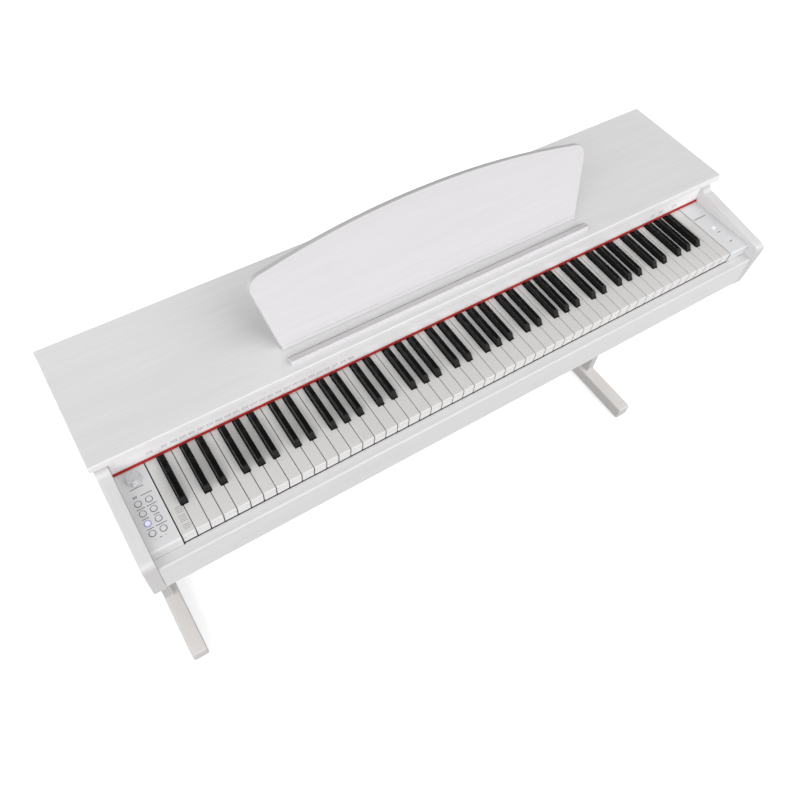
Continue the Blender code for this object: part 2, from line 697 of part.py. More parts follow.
# Stand -------------------------------------------------------------------------------------------------
def make_stand(materials):
    for side, word in ((-1, "left"), (1, "right")):
        inner, outer = side * (PANEL_OUTER - LEG_THICK), side * PANEL_OUTER
        low = (min(inner, outer), LEG_FRONT, FOOT_HEIGHT + GAP)
        high = (max(inner, outer), CASE_BACK, CASE_BOTTOM - GAP)
        box(f"leg_{word}", low, high, materials["white_board"])
        make_foot(side, word, materials)
    leg_inner = PANEL_OUTER - LEG_THICK - GAP
    box(
        "stand_back_board",
        (-leg_inner, BACK_BOARD_FRONT, 0.050),
        (leg_inner, BACK_BOARD_BACK, 0.420),
        materials["white_board"],
    )


def make_foot(side, word, materials):
    """A long block along the depth, with rounded corners at both ends."""
    radius = 0.008
    width = FOOT_OUTER - FOOT_INNER
    x0 = min(side * FOOT_INNER, side * FOOT_OUTER)
    corners = (
        ((x0 + width - radius, FOOT_BACK - radius), 0),
        ((x0 + radius, FOOT_BACK - radius), 90),
        ((x0 + radius, FOOT_FRONT + radius), 180),
        ((x0 + width - radius, FOOT_FRONT + radius), 270),
    )
    outline = [(x, y, 0.0) for centre, start in corners for x, y in arc(centre, radius, start, start + 90, 4)]
    prism(f"foot_{word}", outline, (0, 0, FOOT_HEIGHT), materials["foot_board"])


def pedal_outline(x):
    """Plan of a pedal: a wide round-nosed tread on a narrower arm."""
    tread, arm = 0.0125, 0.0075
    nose = arc((x, PEDAL_TIP + tread), tread, 180, 360, 10)
    return [
        *nose,
        (x + tread, PEDAL_TIP + 0.038),
        (x + arm, PEDAL_TIP + 0.054),
        (x + arm, PEDAL_AXIS_Y + 0.010),
        (x - arm, PEDAL_AXIS_Y + 0.010),
        (x - arm, PEDAL_TIP + 0.054),
        (x - tread, PEDAL_TIP + 0.038),
    ]


def make_pedals(materials):
    """The pedal box with an open back, three levers, their common shaft and the adjuster under the box."""
    wall = 0.010
    shell = box(
        "pedal_box",
        (-PEDAL_BOX_HALF, PEDAL_BOX_FRONT, PEDAL_BOX_BOTTOM),
        (PEDAL_BOX_HALF, BACK_BOARD_FRONT - GAP, PEDAL_BOX_TOP),
        materials["white_board"],
    )
    hollow = bmesh.new()
    low = (-PEDAL_BOX_HALF + wall, PEDAL_BOX_FRONT + wall, PEDAL_BOX_BOTTOM + wall)
    high = (PEDAL_BOX_HALF - wall, BACK_BOARD_FRONT + 0.01, PEDAL_BOX_TOP - wall)
    add_box(hollow, low, high)
    boolean(shell, hidden_cutter("pedal_box_hollow_cutter", hollow))
    slots = bmesh.new()
    slot_bottom, slot_top, slot_half = PEDAL_BOX_BOTTOM + 0.0125, PEDAL_AXIS_Z + 0.006, 0.0105
    for k in (-1, 0, 1):
        x = k * PEDAL_PITCH
        low = (x - slot_half, PEDAL_BOX_FRONT - 0.01, slot_bottom)
        add_box(slots, low, (x + slot_half, PEDAL_BOX_FRONT + 0.015, slot_top))
    stem = ((0.0, 0.030), (0.0046, 0.030), (0.0046, 0.060), (0.0, 0.060))
    add_turned(slots, stem, (0.0, ADJUSTER_Y), 16)
    boolean(shell, hidden_cutter("pedal_box_slot_cutter", slots))

    shaft_radius, bore = 0.0030, 0.0034
    half_shaft = PEDAL_BOX_HALF - wall - GAP
    circle = [(-half_shaft, y, z) for y, z in arc((PEDAL_AXIS_Y, PEDAL_AXIS_Z), shaft_radius, 0, 337.5, 15)]
    prism("pedal_shaft", circle, (2 * half_shaft, 0, 0), materials["steel"])
    bores = bmesh.new()
    long = PEDAL_BOX_HALF
    ring = [(-long, y, z) for y, z in arc((PEDAL_AXIS_Y, PEDAL_AXIS_Z), bore, 0, 337.5, 15)]
    add_prism(bores, ring, (2 * long, 0, 0))
    bore_cutter = hidden_cutter("pedal_bore_cutter", bores)
    for k, word in ((-1, "soft"), (0, "sostenuto"), (1, "damper")):
        x = k * PEDAL_PITCH
        outline = [(px, py, PEDAL_AXIS_Z - PEDAL_THICK / 2) for px, py in pedal_outline(x)]
        hub = bmesh.new()
        add_prism(hub, outline, (0, 0, PEDAL_THICK))
        lever = finish(f"pedal_{word}", hub, materials["pedal_metal"], (x, PEDAL_AXIS_Y, PEDAL_AXIS_Z))
        boss = bmesh.new()
        barrel = arc((PEDAL_AXIS_Y, PEDAL_AXIS_Z), 0.0065, 0, 337.5, 15)
        add_prism(boss, [(x - 0.0075, y, z) for y, z in barrel], (0.015, 0, 0))
        boolean(lever, hidden_cutter(f"pedal_boss_{word}", boss), "UNION")
        boolean(lever, bore_cutter)
    profile = (
        (0.0, 0.0004),
        (0.0150, 0.0004),
        (0.0160, 0.0020),
        (0.0160, 0.0080),
        (0.0042, 0.0100),
        (0.0042, ADJUSTER_TOP),
        (0.0, ADJUSTER_TOP),
    )
    turned("pedal_box_adjuster", profile, (0.0, ADJUSTER_Y), materials["foot_rubber"], (0.0, ADJUSTER_Y, 0.0), 20)


def main():
    clear_scene()
    materials = make_materials()
    make_side_panels(materials)
    make_boards(materials)
    make_key_bed(materials)
    make_control_panels(materials)
    make_controls(materials)
    make_keys(materials)
    make_key_frame(materials)
    make_music_desk(materials)
    make_electronics(materials)
    make_stand(materials)
    make_pedals(materials)


main()
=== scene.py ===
"""Looks of the digital piano on its stand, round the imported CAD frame. Metres, +Z up, player at -Y."""

import math
import random

import bmesh
import bpy
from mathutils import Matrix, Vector


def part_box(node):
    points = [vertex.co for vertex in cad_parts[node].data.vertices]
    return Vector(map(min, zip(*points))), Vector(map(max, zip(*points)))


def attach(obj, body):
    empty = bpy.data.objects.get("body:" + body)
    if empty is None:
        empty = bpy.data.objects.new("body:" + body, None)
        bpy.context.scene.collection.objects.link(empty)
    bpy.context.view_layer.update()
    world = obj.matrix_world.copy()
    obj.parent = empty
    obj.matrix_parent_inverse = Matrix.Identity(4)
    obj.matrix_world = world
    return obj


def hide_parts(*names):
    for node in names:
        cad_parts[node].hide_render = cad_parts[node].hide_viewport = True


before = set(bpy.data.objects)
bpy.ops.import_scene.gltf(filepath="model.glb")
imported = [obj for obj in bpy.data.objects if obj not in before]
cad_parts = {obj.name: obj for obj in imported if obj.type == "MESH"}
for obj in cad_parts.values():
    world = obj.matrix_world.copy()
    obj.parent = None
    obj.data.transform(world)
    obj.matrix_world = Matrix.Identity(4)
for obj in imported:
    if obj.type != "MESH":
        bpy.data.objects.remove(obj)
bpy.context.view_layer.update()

# Camera and light ----------------------------------------------------------------------------------
CAMERA_AT = (-0.6460, -0.7156, 1.8531)
CAMERA_TURN = (34.049, -2.315, -31.836)      # degrees about X, Y and Z
CAMERA_LENS = 33.91
CAMERA_SHIFT = (0.0358, -0.0106)
SKY = 0.20                   # radiance of the studio above the horizon
GROUND = 0.15                # and below it
HORIZON = 0.02               # half the height over which one turns into the other
FLOOR_REACH = 14.0
FLOOR_DROP = 0.0005          # floor below the feet, so that the two don't share a plane
LAMPS = (                    # azimuth from the player's side, elevation, strength and spread
    ("front_left_softbox", -50, 20, 1.77, 65),
    ("front_right_softbox", 45, 45, 1.68, 65),
    ("low_front_fill", 10, 8, 0.69, 65),
    ("bass_side_softbox", -80, 35, 0.62, 65),
    ("back_softbox", 180, 25, 0.73, 40),
    ("rear_fill", 190, 5, 0.35, 65),
    ("rim_lamp", -130, 35, 0.15, 8),
)

# Boards --------------------------------------------------------------------------------------------
EDGE = 0.0012                # rounding of a board's edges
FOOT_EDGE = 0.0045
SHARP_TURN = 30              # degrees: an edge that turns more is rounded
NOSE_RADIUS = 0.0135         # front of a side panel
NOSE_HEIGHT = 0.7445
NOSE_SETBACK = 0.0052        # how far a side panel's lower front corner is behind the nose
COVE_RADIUS = 0.0130         # hollow of a side panel under the lid
COVE_MIDDLE = (-0.0514, 0.7915)
LID_BROW = 0.0024            # rounding of the lid's front, above and below
LID_CHIN = 0.0022
LID_END = 0.002
LEDGE_FALL = 0.0028          # how far the ledge's top drops towards the desk
LEDGE_SHADE_WIDTH = 0.0008          # width and depth of the dark strip along the ledge's back, a dark sheet that is painted shade
LEDGE_SHADE_DEPTH = 0.0015
RAIL_BROW = 0.003            # rounding of the front rail, above and below
RAIL_CHIN = 0.0015
LIP_RISE = 0.0003            # strip behind the front rail, close to the key fronts
LIP_THICK = 0.0014
LIP_DEPTH = 0.012
FELT_SWELL = 0.0010          # how far the soft nap stands out of the strip, to the front and downwards
FELT_SAG = 0.0004
FELT_STEPS = 520
NAP = 0.00025                # unevenness of the nap

# Music desk: the heights run along its slope -------------------------------------------------------
DESK_TILT = math.radians(22.5)
DESK_THICK = 0.013
DESK_FOOT_Y = 0.0044         # where the desk's front face meets the lid's plane
DESK_BOTTOM = 0.0065
DESK_SHOULDER = 0.150
DESK_CROWN = 0.182
DESK_CORNER = 0.026
DESK_BOTTOM_CORNER = 0.003
DESK_BOTTOM_HALF = 0.329
DESK_TOP_HALF = 0.354
DESK_FOOT_THICK = 0.0055     # strip under the desk's lower edge

# Keys ----------------------------------------------------------------------------------------------
KEY_HALF = 0.6112            # half the keyboard's width
KEY_CLEARANCE = 0.0118       # from a key's underside to the dark strip below it, a dark sheet that is painted shade under the key fronts
KEY_PITCH = 0.0235
KEY_GAP = 0.0009
SEAM = 0.00115               # gap seen between two white keys
WHITE_SIDE = 0.0007          # rounding of a white key's long sides, front edge and front corners
WHITE_FRONT = 0.0022
WHITE_CORNER = 0.0011
BLACK_WIDTH = 0.0113
BLACK_TOP_WIDTH = 0.0095
BLACK_RISE = 0.012
BLACK_DEPTH = 0.016
BLACK_EDGE = 0.0010          # rounding of a black key's long edges and front
BLACK_BROW = 0.0024
BLACK_NOSE = 0.0095          # run of the sloping front
BLACK_SETBACK = 0.0495       # black front behind the white front
CAP_LENGTH = 0.1428          # white front to the end of the black caps
BAR_SETBACK = 0.212
NOTCH_SIDE = 0.0011
NOTCH_FRONT = 0.0012
TAIL_DROP = 0.010
BLACK_TAIL_DEPTH = 0.008
KEY_SIDE_SHADE_HIGH = 0.7486       # heights between which a key's long side turns to painted shade, which darkens the seams between white keys
KEY_SIDE_SHADE_LOW = 0.7474
KEY_FOOT_SHADE_HEIGHT = 0.7282       # below this height a white key is painted dark, as shade behind the front rail
WHITE_STEPS = (0, 2, 4, 5, 7, 9, 11)
BLACK_SHIFT = {1: -0.0026, 3: 0.0019, 6: -0.0038, 8: -0.0002, 10: 0.0034}
NOTE_NAMES = ("c", "c_sharp", "d", "d_sharp", "e", "f", "f_sharp", "g", "g_sharp", "a", "a_sharp", "b")
LOWEST_NOTE, HIGHEST_NOTE, MIDDLE_C = 21, 108, 60

# Controls and sockets ------------------------------------------------------------------------------
PANEL_BUTTONS = [f"panel_button_{k}" for k in range(1, 9)]
LIT_BUTTON = "panel_button_3"
PANEL_WALL = 0.003           # thickness of a control panel's top
FLANGE = 0.0012              # a button's flange beyond its cap
BUTTON_RIM = 0.0005
RING_WIDTH = 0.0012          # bezel round a button
KNOB_FLUTES = 18
KNOB_FLUTE = 0.0007          # depth of the flutes round the knob
KNOB_SPINDLE = 0.0031
SOCKETS = ((-0.314, 0.0050), (-0.290, 0.0042), (-0.272, 0.0042))    # x and radius in the connector box
JACKS = ((-0.5835, 0.0036), (-0.5615, 0.0036))                      # the same in the headphone box

# Printed marks -------------------------------------------------------------------------------------
PRINT = 0.00008              # thickness of a printed mark
LABEL_DEPTH = 0.0013         # front to back, of a printed label
LABEL_WIDTHS = (0.0077, 0.0132, 0.0106, 0.0107, 0.0189, 0.0168, 0.0100, 0.0180)
DASH_GAP = 0.0005
TICK_GAP = 0.0007
TICK_ROWS = (0.0196, 0.0156)         # heights of the name board's ticks above the keys
TICK_HALF_HEIGHT = 0.0005
FIRST_TICKS = -0.603                 # a group alone at the bass end, then a row of groups
TICKS_START, TICKS_PITCH, TICKS_COUNT = -0.577, 0.0162, 23
TREBLE_TICKS = (0.522, 0.546, 0.585)
KEY_LINES = ((0.0500, 4), (0.0335, 4), (0.0160, 3))     # start behind the key's front, and how many
KEY_LINE_PITCH = 0.0036
KEY_LINE_INSET = 0.0082


# Meshes --------------------------------------------------------------------------------------------
def arc(centre, radius, start, end, steps):
    """Points on a circle from one angle to another, in degrees."""
    angles = [math.radians(start + (end - start) * k / steps) for k in range(steps + 1)]
    return [(centre[0] + radius * math.cos(a), centre[1] + radius * math.sin(a)) for a in angles]


def inset(outline, amount):
    """A counter-clockwise outline moved inwards."""
    moved = []
    count = len(outline)
    for k in range(count):
        before, here, after = (Vector(outline[(k + step) % count]) for step in (-1, 0, 1))
        first, second = (here - before).normalized(), (after - here).normalized()
        normal = Vector((-first.y, first.x))
        middle = (normal + Vector((-second.y, second.x))).normalized()
        moved.append(here + middle * (amount / max(0.3, middle.dot(normal))))
    return moved


def add_rings(bm, rings):
    """A closed skin over rings of points, each ring with the same count."""
    made = [[bm.verts.new(p) for p in ring] for ring in rings]
    for lower, upper in zip(made, made[1:]):
        for k in range(len(lower)):
            j = (k + 1) % len(lower)
            bm.faces.new((lower[k], lower[j], upper[j], upper[k]))
    bm.faces.new(list(reversed(made[0])))
    bm.faces.new(made[-1])


def add_slab(bm, outline, place, thick, near=EDGE, far=EDGE, steps=3):
    """A board with rounded edges. place(a, b, c) puts outline point (a, b) at depth c, from 0 to thick."""
    rings = []
    for radius, base, sign in ((near, 0.0, 1), (far, thick, -1)):
        turns = [90 * k / steps for k in range(steps + 1)]
        if sign < 0:
            turns.reverse()
        for turn in turns:
            t = math.radians(turn)
            shape = inset(outline, radius * (1 - math.sin(t)))
            depth = base + sign * radius * (1 - math.cos(t))
            rings.append([place(a, b, depth) for a, b in shape])
    add_rings(bm, rings)


def add_block(bm, low, high, edge=EDGE, steps=2):
    """A block with its upright and flat edges rounded."""
    reach = min(edge, *[(h - l) * 0.49 for l, h in zip(low, high)])
    x0, y0, x1, y1 = low[0], low[1], high[0], high[1]
    outline = []
    for cx, cy, start in (
        (x1 - reach, y1 - reach, 0),
        (x0 + reach, y1 - reach, 90),
        (x0 + reach, y0 + reach, 180),
        (x1 - reach, y0 + reach, 270),
    ):
        outline += arc((cx, cy), reach, start, start + 90, steps)
    small = reach * 0.9
    add_slab(bm, outline, lambda a, b, c: (a, b, low[2] + c), high[2] - low[2], small, small, steps)


def add_lathe(bm, profile, centre, segments, axis="z"):
    """A solid turned about a line through centre, from a (radius, height) profile with both ends at 0."""
    turns = [2 * math.pi * k / segments for k in range(segments)]
    rings = []
    for radius, height in profile:
        spots = []
        for t in turns if radius else [0.0]:
            a, b = radius * math.cos(t), radius * math.sin(t)
            local = {"z": (a, b, height), "y": (a, height, -b)}[axis]
            spots.append(bm.verts.new(Vector(centre) + Vector(local)))
        rings.append(spots)
    for lower, upper in zip(rings, rings[1:]):
        for k in range(segments):
            ring = (
                lower[k % len(lower)],
                lower[(k + 1) % len(lower)],
                upper[(k + 1) % len(upper)],
                upper[k % len(upper)],
            )
            bm.faces.new(list(dict.fromkeys(ring)))


def piece(name, bm, look, body="root", replaces=(), slot=None, angle=40):
    """A finished object from a bmesh in the frame's coordinates, riding on a body."""
    bmesh.ops.recalc_face_normals(bm, faces=bm.faces)
    mesh = bpy.data.meshes.new(name)
    bm.to_mesh(mesh)
    bm.free()
    mesh.materials.append(look)
    mesh.polygons.foreach_set("use_smooth", [True] * len(mesh.polygons))
    mesh.set_sharp_from_angle(angle=math.radians(angle))
    obj = bpy.data.objects.new(name, mesh)
    bpy.context.scene.collection.objects.link(obj)
    modifier = obj.modifiers.new("even_normals", "WEIGHTED_NORMAL")
    modifier.keep_sharp = True
    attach(obj, body)
    if replaces:
        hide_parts(*replaces)


def refined(node, look, slot, body="root", edge=EDGE, steps=2):
    """A node's own solid with its sharp edges rounded."""
    bm = bmesh.new()
    bm.from_mesh(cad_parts[node].data)
    bmesh.ops.remove_doubles(bm, verts=bm.verts, dist=1e-6)
    bmesh.ops.dissolve_limit(bm, angle_limit=math.radians(1), verts=bm.verts, edges=bm.edges)
    sharp = [e for e in bm.edges if e.is_manifold and e.calc_face_angle(0.0) > math.radians(SHARP_TURN)]
    bmesh.ops.bevel(
        bm,
        geom=sharp,
        offset=edge,
        offset_type="OFFSET",
        segments=steps,
        profile=0.5,
        affect="EDGES",
        clamp_overlap=True,
    )
    piece(f"{node}_finish", bm, look, body, (node,), slot, angle=35)


# Materials -----------------------------------------------------------------------------------------
class Look:
    """A Principled material with procedural colour, roughness and relief."""

    def __init__(self, name, color, roughness, **sockets):
        self.material = bpy.data.materials.new(name)
        self.material.use_nodes = True
        self.tree = self.material.node_tree
        self.shader = self.tree.nodes["Principled BSDF"]
        self.shader.inputs["Base Color"].default_value = (*color, 1.0)
        self.shader.inputs["Roughness"].default_value = roughness
        for socket, value in sockets.items():
            self.shader.inputs[socket.replace("_", " ")].default_value = value
        self.coordinates = None

    def node(self, kind, links=(), **settings):
        made = self.tree.nodes.new(kind)
        for key, value in settings.items():
            if hasattr(made, key):
                setattr(made, key, value)
            else:
                made.inputs[key.replace("_", " ")].default_value = value
        for socket, source in links:
            self.tree.links.new(source, made.inputs[socket])
        return made

    def place(self, stretch):
        if self.coordinates is None:
            self.coordinates = self.node("ShaderNodeTexCoord").outputs["Object"]
        return self.node("ShaderNodeMapping", [("Vector", self.coordinates)], Scale=stretch).outputs[0]

    def noise(self, stretch, detail=3.0, rough=0.5, distortion=0.0):
        """Noise in object space; stretch is how many cells there are in a metre along each axis."""
        links = [("Vector", self.place(stretch))]
        made = self.node("ShaderNodeTexNoise", links, Scale=1.0, Detail=detail, Roughness=rough)
        made.inputs["Distortion"].default_value = distortion
        return made.outputs["Fac"]

    def remap(self, source, low, high, start=0.0, end=1.0):
        links = [("Value", source)]
        made = self.node("ShaderNodeMapRange", links)
        for socket, value in (("From Min", low), ("From Max", high), ("To Min", start), ("To Max", end)):
            made.inputs[socket].default_value = value
        return made.outputs["Result"]

    def math(self, operation, first, second):
        made = self.node("ShaderNodeMath", operation=operation)
        for socket, value in ((0, first), (1, second)):
            if isinstance(value, (int, float)):
                made.inputs[socket].default_value = value
            else:
                self.tree.links.new(value, made.inputs[socket])
        return made.outputs[0]

    def tint(self, source, first, second):
        """Colour between two tints, by a value from 0 to 1."""
        made = self.node("ShaderNodeMix", data_type="RGBA")
        self.tree.links.new(source, made.inputs[0])
        made.inputs[6].default_value = (*first, 1.0)
        made.inputs[7].default_value = (*second, 1.0)
        self.tree.links.new(made.outputs[2], self.shader.inputs["Base Color"])

    def facing(self, axis, start, end):
        """From 0 to 1 as a face turns towards an axis."""
        normal = self.node("ShaderNodeTexCoord").outputs["Normal"]
        split = self.node("ShaderNodeSeparateXYZ", [("Vector", normal)])
        return self.remap(split.outputs[axis], start, end)

    def over(self, factor, color):
        """Another colour laid over the tint, by a value from 0 to 1."""
        base = self.shader.inputs["Base Color"]
        made = self.node("ShaderNodeMix", [(0, factor), (6, base.links[0].from_socket)], data_type="RGBA")
        made.inputs[7].default_value = (*color, 1.0)
        self.tree.links.new(made.outputs[2], base)

    def rough(self, source, low, high):
        self.tree.links.new(self.remap(source, 0.3, 0.7, low, high), self.shader.inputs["Roughness"])

    def relief(self, source, distance, strength=1.0):
        """Bump of that many metres, added over any bump before it."""
        made = self.node("ShaderNodeBump", [("Height", source)], Strength=strength, Distance=distance)
        socket = self.shader.inputs["Normal"]
        if socket.links:
            self.tree.links.new(socket.links[0].from_socket, made.inputs["Normal"])
        self.tree.links.new(made.outputs["Normal"], socket)
        return self


def board_look(name, grain, shade, front=None, top=None):
    """Satin white film, faintly grained along one axis; front and top faces may have another shade painted
    over them, as painted light or painted shade.
    """

    def along(fine, coarse):
        return tuple(coarse if axis == grain else fine for axis in "xyz")

    dark, light = [tuple(channel * level for channel in shade) for level in (0.965, 1.03)]
    look = Look(name, shade, 0.42, Specular_IOR_Level=0.45)
    rings = look.noise(along(34, 2.2), 3.0, 0.55, 0.6)
    pores = look.noise(along(620, 26), 2.0, 0.6)
    clouds = look.noise(along(5, 1.3), 2.0)
    streaks = look.noise(along(190, 6), 3.0, 0.65)
    broad = look.math("ADD", look.math("MULTIPLY", rings, 0.30), look.math("MULTIPLY", clouds, 0.15))
    figure = look.math("ADD", broad, look.math("MULTIPLY", streaks, 0.55))
    look.tint(look.remap(figure, 0.36, 0.64), dark, light)
    # painted light or painted shade laid over faces turned to the front, and over faces turned up
    if front:
        look.over(look.facing("Y", -0.6, -0.95), front)
    if top:
        look.over(look.facing("Z", 0.6, 0.95), top)
    look.rough(pores, 0.36, 0.50)
    look.relief(look.remap(pores, 0.35, 0.62), 0.00006, 0.5)
    return look.relief(look.remap(rings, 0.3, 0.7), 0.00012, 0.3).material


def moulded_look(name, color, roughness, grain=1400, depth=0.00004, vary=0.03):
    """Moulded plastic: a fine even texture and a slight change of shade."""
    look = Look(name, color, roughness)
    fine = look.noise((grain,) * 3, 2.0, 0.6)
    broad = look.noise((9, 9, 9), 2.0)
    look.tint(broad, *[tuple(min(1.0, c * level) for c in color) for level in (1 - vary, 1 + vary)])
    look.rough(fine, roughness * 0.88, roughness * 1.12)
    return look.relief(fine, depth, 0.6).material


def white_key_look():
    """White plastic: its front faces are paler as painted light, its long sides go dark below the top as
    painted shade in the seams, and its foot behind the front rail is painted shade.
    """
    color = (0.64, 0.632, 0.62)
    look = Look("white_key", color, 0.28, Coat_Weight=0.15)
    fine = look.noise((500, 500, 500), 2.0, 0.6)
    broad = look.noise((9, 9, 9), 2.0)
    look.tint(broad, *[tuple(c * level for c in color) for level in (0.985, 1.015)])
    height = look.node("ShaderNodeSeparateXYZ", [("Vector", look.place((1, 1, 1)))]).outputs["Z"]
    # painted light: front faces are paler, for the light falling on the key fronts
    look.over(look.facing("Y", -0.65, -0.95), (0.725, 0.716, 0.712))
    # painted shade: the long sides go dark below the top, for the shadow in the seams between keys
    sideways = look.math("ADD", look.facing("X", 0.75, 0.98), look.facing("X", -0.75, -0.98))
    below = look.remap(height, KEY_SIDE_SHADE_LOW, KEY_SIDE_SHADE_HIGH, 1.0, 0.0)
    look.over(look.math("MULTIPLY", sideways, below), (0.21, 0.18, 0.17))
    # painted shade at the foot of each key, behind the front rail
    look.over(look.remap(height, KEY_FOOT_SHADE_HEIGHT - 0.0006, KEY_FOOT_SHADE_HEIGHT, 1.0, 0.0), (0.035, 0.027, 0.025))
    look.rough(fine, 0.25, 0.31)
    return look.relief(fine, 0.00001, 0.6).material


def black_key_look():
    """Deep black plastic, with painted light on the sloping front and a painted highlight along the upper
    edge on the bass side.
    """
    color = (0.0035, 0.0032, 0.0032)
    look = Look("black_key", color, 0.2, Specular_IOR_Level=0.2)
    fine = look.noise((1600, 1600, 1600), 2.0, 0.6)
    look.tint(fine, (0.0028, 0.0026, 0.0026), (0.0044, 0.0040, 0.0040))
    # painted highlight: pale streaks along the upper edge on the bass side
    edge = look.math("MULTIPLY", look.facing("X", -0.30, -0.50), look.facing("Z", 0.35, 0.50))
    streaks = look.remap(look.noise((900, 160, 900), 3.0, 0.6), 0.40, 0.60, 0.25, 1.0)
    look.over(look.math("MULTIPLY", edge, streaks), (0.085, 0.085, 0.088))
    # painted light on the sloping front faces
    look.over(look.facing("Y", -0.45, -0.75), (0.011, 0.010, 0.010))
    look.rough(fine, 0.17, 0.24)
    return look.relief(fine, 0.00003, 0.6).material


def felt_look():
    """Red felt: fibres that run along the strip, and a soft sheen."""
    look = Look("felt", (0.40, 0.02, 0.015), 0.95, Sheen_Weight=0.15, Sheen_Roughness=0.5)
    look.shader.inputs["Sheen Tint"].default_value = (1.0, 0.35, 0.3, 1.0)
    fibres = look.noise((700, 2600, 2600), 4.0, 0.7, 1.5)
    look.tint(look.remap(fibres, 0.3, 0.7), (0.24, 0.006, 0.005), (0.54, 0.017, 0.012))
    return look.relief(fibres, 0.0003, 0.9).material


def metal_look(name, color, roughness, brushed=False):
    look = Look(name, color, roughness, Metallic=1.0)
    lines = look.noise((30, 1500, 1500) if brushed else (300, 300, 300), 3.0, 0.6)
    wear = look.noise((40, 40, 40), 3.0)
    look.tint(wear, tuple(c * 0.93 for c in color), tuple(min(1.0, c * 1.06) for c in color))
    look.rough(lines, roughness * 0.75, roughness * 1.35)
    return look.relief(lines, 0.00002, 0.35).material


def glow_look(name, color, glow, strength):
    look = Look(name, color, 0.3)
    look.shader.inputs["Emission Color"].default_value = (*glow, 1.0)
    look.shader.inputs["Emission Strength"].default_value = strength
    fine = look.noise((900, 900, 900), 2.0)
    look.tint(fine, tuple(c * 0.97 for c in color), color)
    look.rough(fine, 0.26, 0.36)
    return look.relief(fine, 0.00002, 0.4).material


def floor_look():
    """Pale paint that glows a little, so that the floor stays white under the soft light."""
    look = Look("floor_paint", (0.96, 0.96, 0.96), 0.8, Specular_IOR_Level=0.2)
    look.shader.inputs["Emission Color"].default_value = (1.0, 1.0, 1.0, 1.0)
    look.shader.inputs["Emission Strength"].default_value = 0.35
    speck = look.noise((300, 300, 300), 2.0)
    look.tint(speck, (0.955, 0.955, 0.955), (0.965, 0.965, 0.965))
    return look.relief(speck, 0.00002, 0.3).material


def clear_look():
    """Clear plastic, slightly milky."""
    look = Look("clear_knob", (0.95, 0.95, 0.96), 0.10, Transmission_Weight=0.65, IOR=1.45)
    swirl = look.noise((160, 160, 160), 2.0)
    look.tint(swirl, (0.92, 0.92, 0.93), (0.97, 0.97, 0.98))
    look.rough(swirl, 0.03, 0.08)
    return look.relief(swirl, 0.00002, 0.3).material


BOARD_SHADE = (0.668, 0.662, 0.668)
board_film = board_look("white_board", "x", BOARD_SHADE)
# feet: a darker copy of the board film as painted shade, with painted shade on the front ends and painted
# light on the tops
foot_board = board_look("foot_board", "y", (0.56, 0.54, 0.53), (0.53, 0.51, 0.505), (0.73, 0.705, 0.69))
# lid: painted light on its front face
lid_film = board_look("lid_film", "x", BOARD_SHADE, (0.79, 0.78, 0.79))
# ledge: painted light on its front face and painted shade on its top
ledge_film = board_look("ledge_film", "x", (0.66, 0.645, 0.66), (0.72, 0.705, 0.72), (0.57, 0.555, 0.562))
# legs: a darker copy of the board film, painted shade for the shadow under the case
leg_board = board_look("leg_board", "z", (0.50, 0.493, 0.488))
# name board: a brighter copy of the board film, painted light under the lid's overhang
name_film = board_look("name_board_film", "x", (0.86, 0.85, 0.86))
# desk: painted shade on its top edge
desk_film = board_look("desk_film", "x", (0.635, 0.622, 0.635), top=(0.41, 0.405, 0.41))
desk_foot_film = board_look("desk_foot_film", "x", (0.655, 0.642, 0.655))
# side panels: painted shade on their front faces
side_film = board_look("side_film", "y", BOARD_SHADE, (0.565, 0.55, 0.555))
panel_plastic = moulded_look("panel_plastic", (0.68, 0.68, 0.69), 0.42)
white_key = white_key_look()
black_key = black_key_look()
ring_plastic = moulded_look("ring_plastic", (0.05, 0.05, 0.055), 0.4)
print_ink = moulded_look("print_ink", (0.03, 0.03, 0.033), 0.6)
pale_ink = moulded_look("pale_ink", (0.16, 0.155, 0.155), 0.6)
dark_plastic = moulded_look("dark_plastic", (0.03, 0.03, 0.034), 0.55, 1100, 0.00006, 0.12)
circuit_board = moulded_look("circuit_board", (0.015, 0.12, 0.045), 0.4, 700, 0.00003, 0.15)
foot_rubber = moulded_look("foot_rubber", (0.03, 0.03, 0.03), 0.8, 900, 0.00008, 0.2)
paper_cone = moulded_look("paper_cone", (0.05, 0.05, 0.052), 0.9, 500, 0.0002, 0.25)
felt = felt_look()
pedal_metal = metal_look("pedal_metal", (0.66, 0.65, 0.63), 0.14)
steel = metal_look("steel", (0.56, 0.57, 0.59), 0.32, brushed=True)
contact_metal = metal_look("contact_metal", (0.70, 0.66, 0.55), 0.3)
knob_core = metal_look("knob_core", (0.80, 0.81, 0.83), 0.22)
clear_knob = clear_look()
lit_white = glow_look("lit_button", (0.76, 0.76, 0.84), (0.80, 0.78, 1.0), 0.16)
lit_violet = glow_look("lit_ring", (0.12, 0.12, 0.50), (0.16, 0.14, 1.0), 0.06)


# Case ----------------------------------------------------------------------------------------------
def board(node, look, edge=EDGE):
    """A plain rectangular board in place of a node, with rounded edges."""
    low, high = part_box(node)
    bm = bmesh.new()
    add_block(bm, low, high, edge, 3)
    slot = "foot_board" if node.startswith("foot") else "white_board"
    piece(f"{node}_finish", bm, look, replaces=(node,), slot=slot)


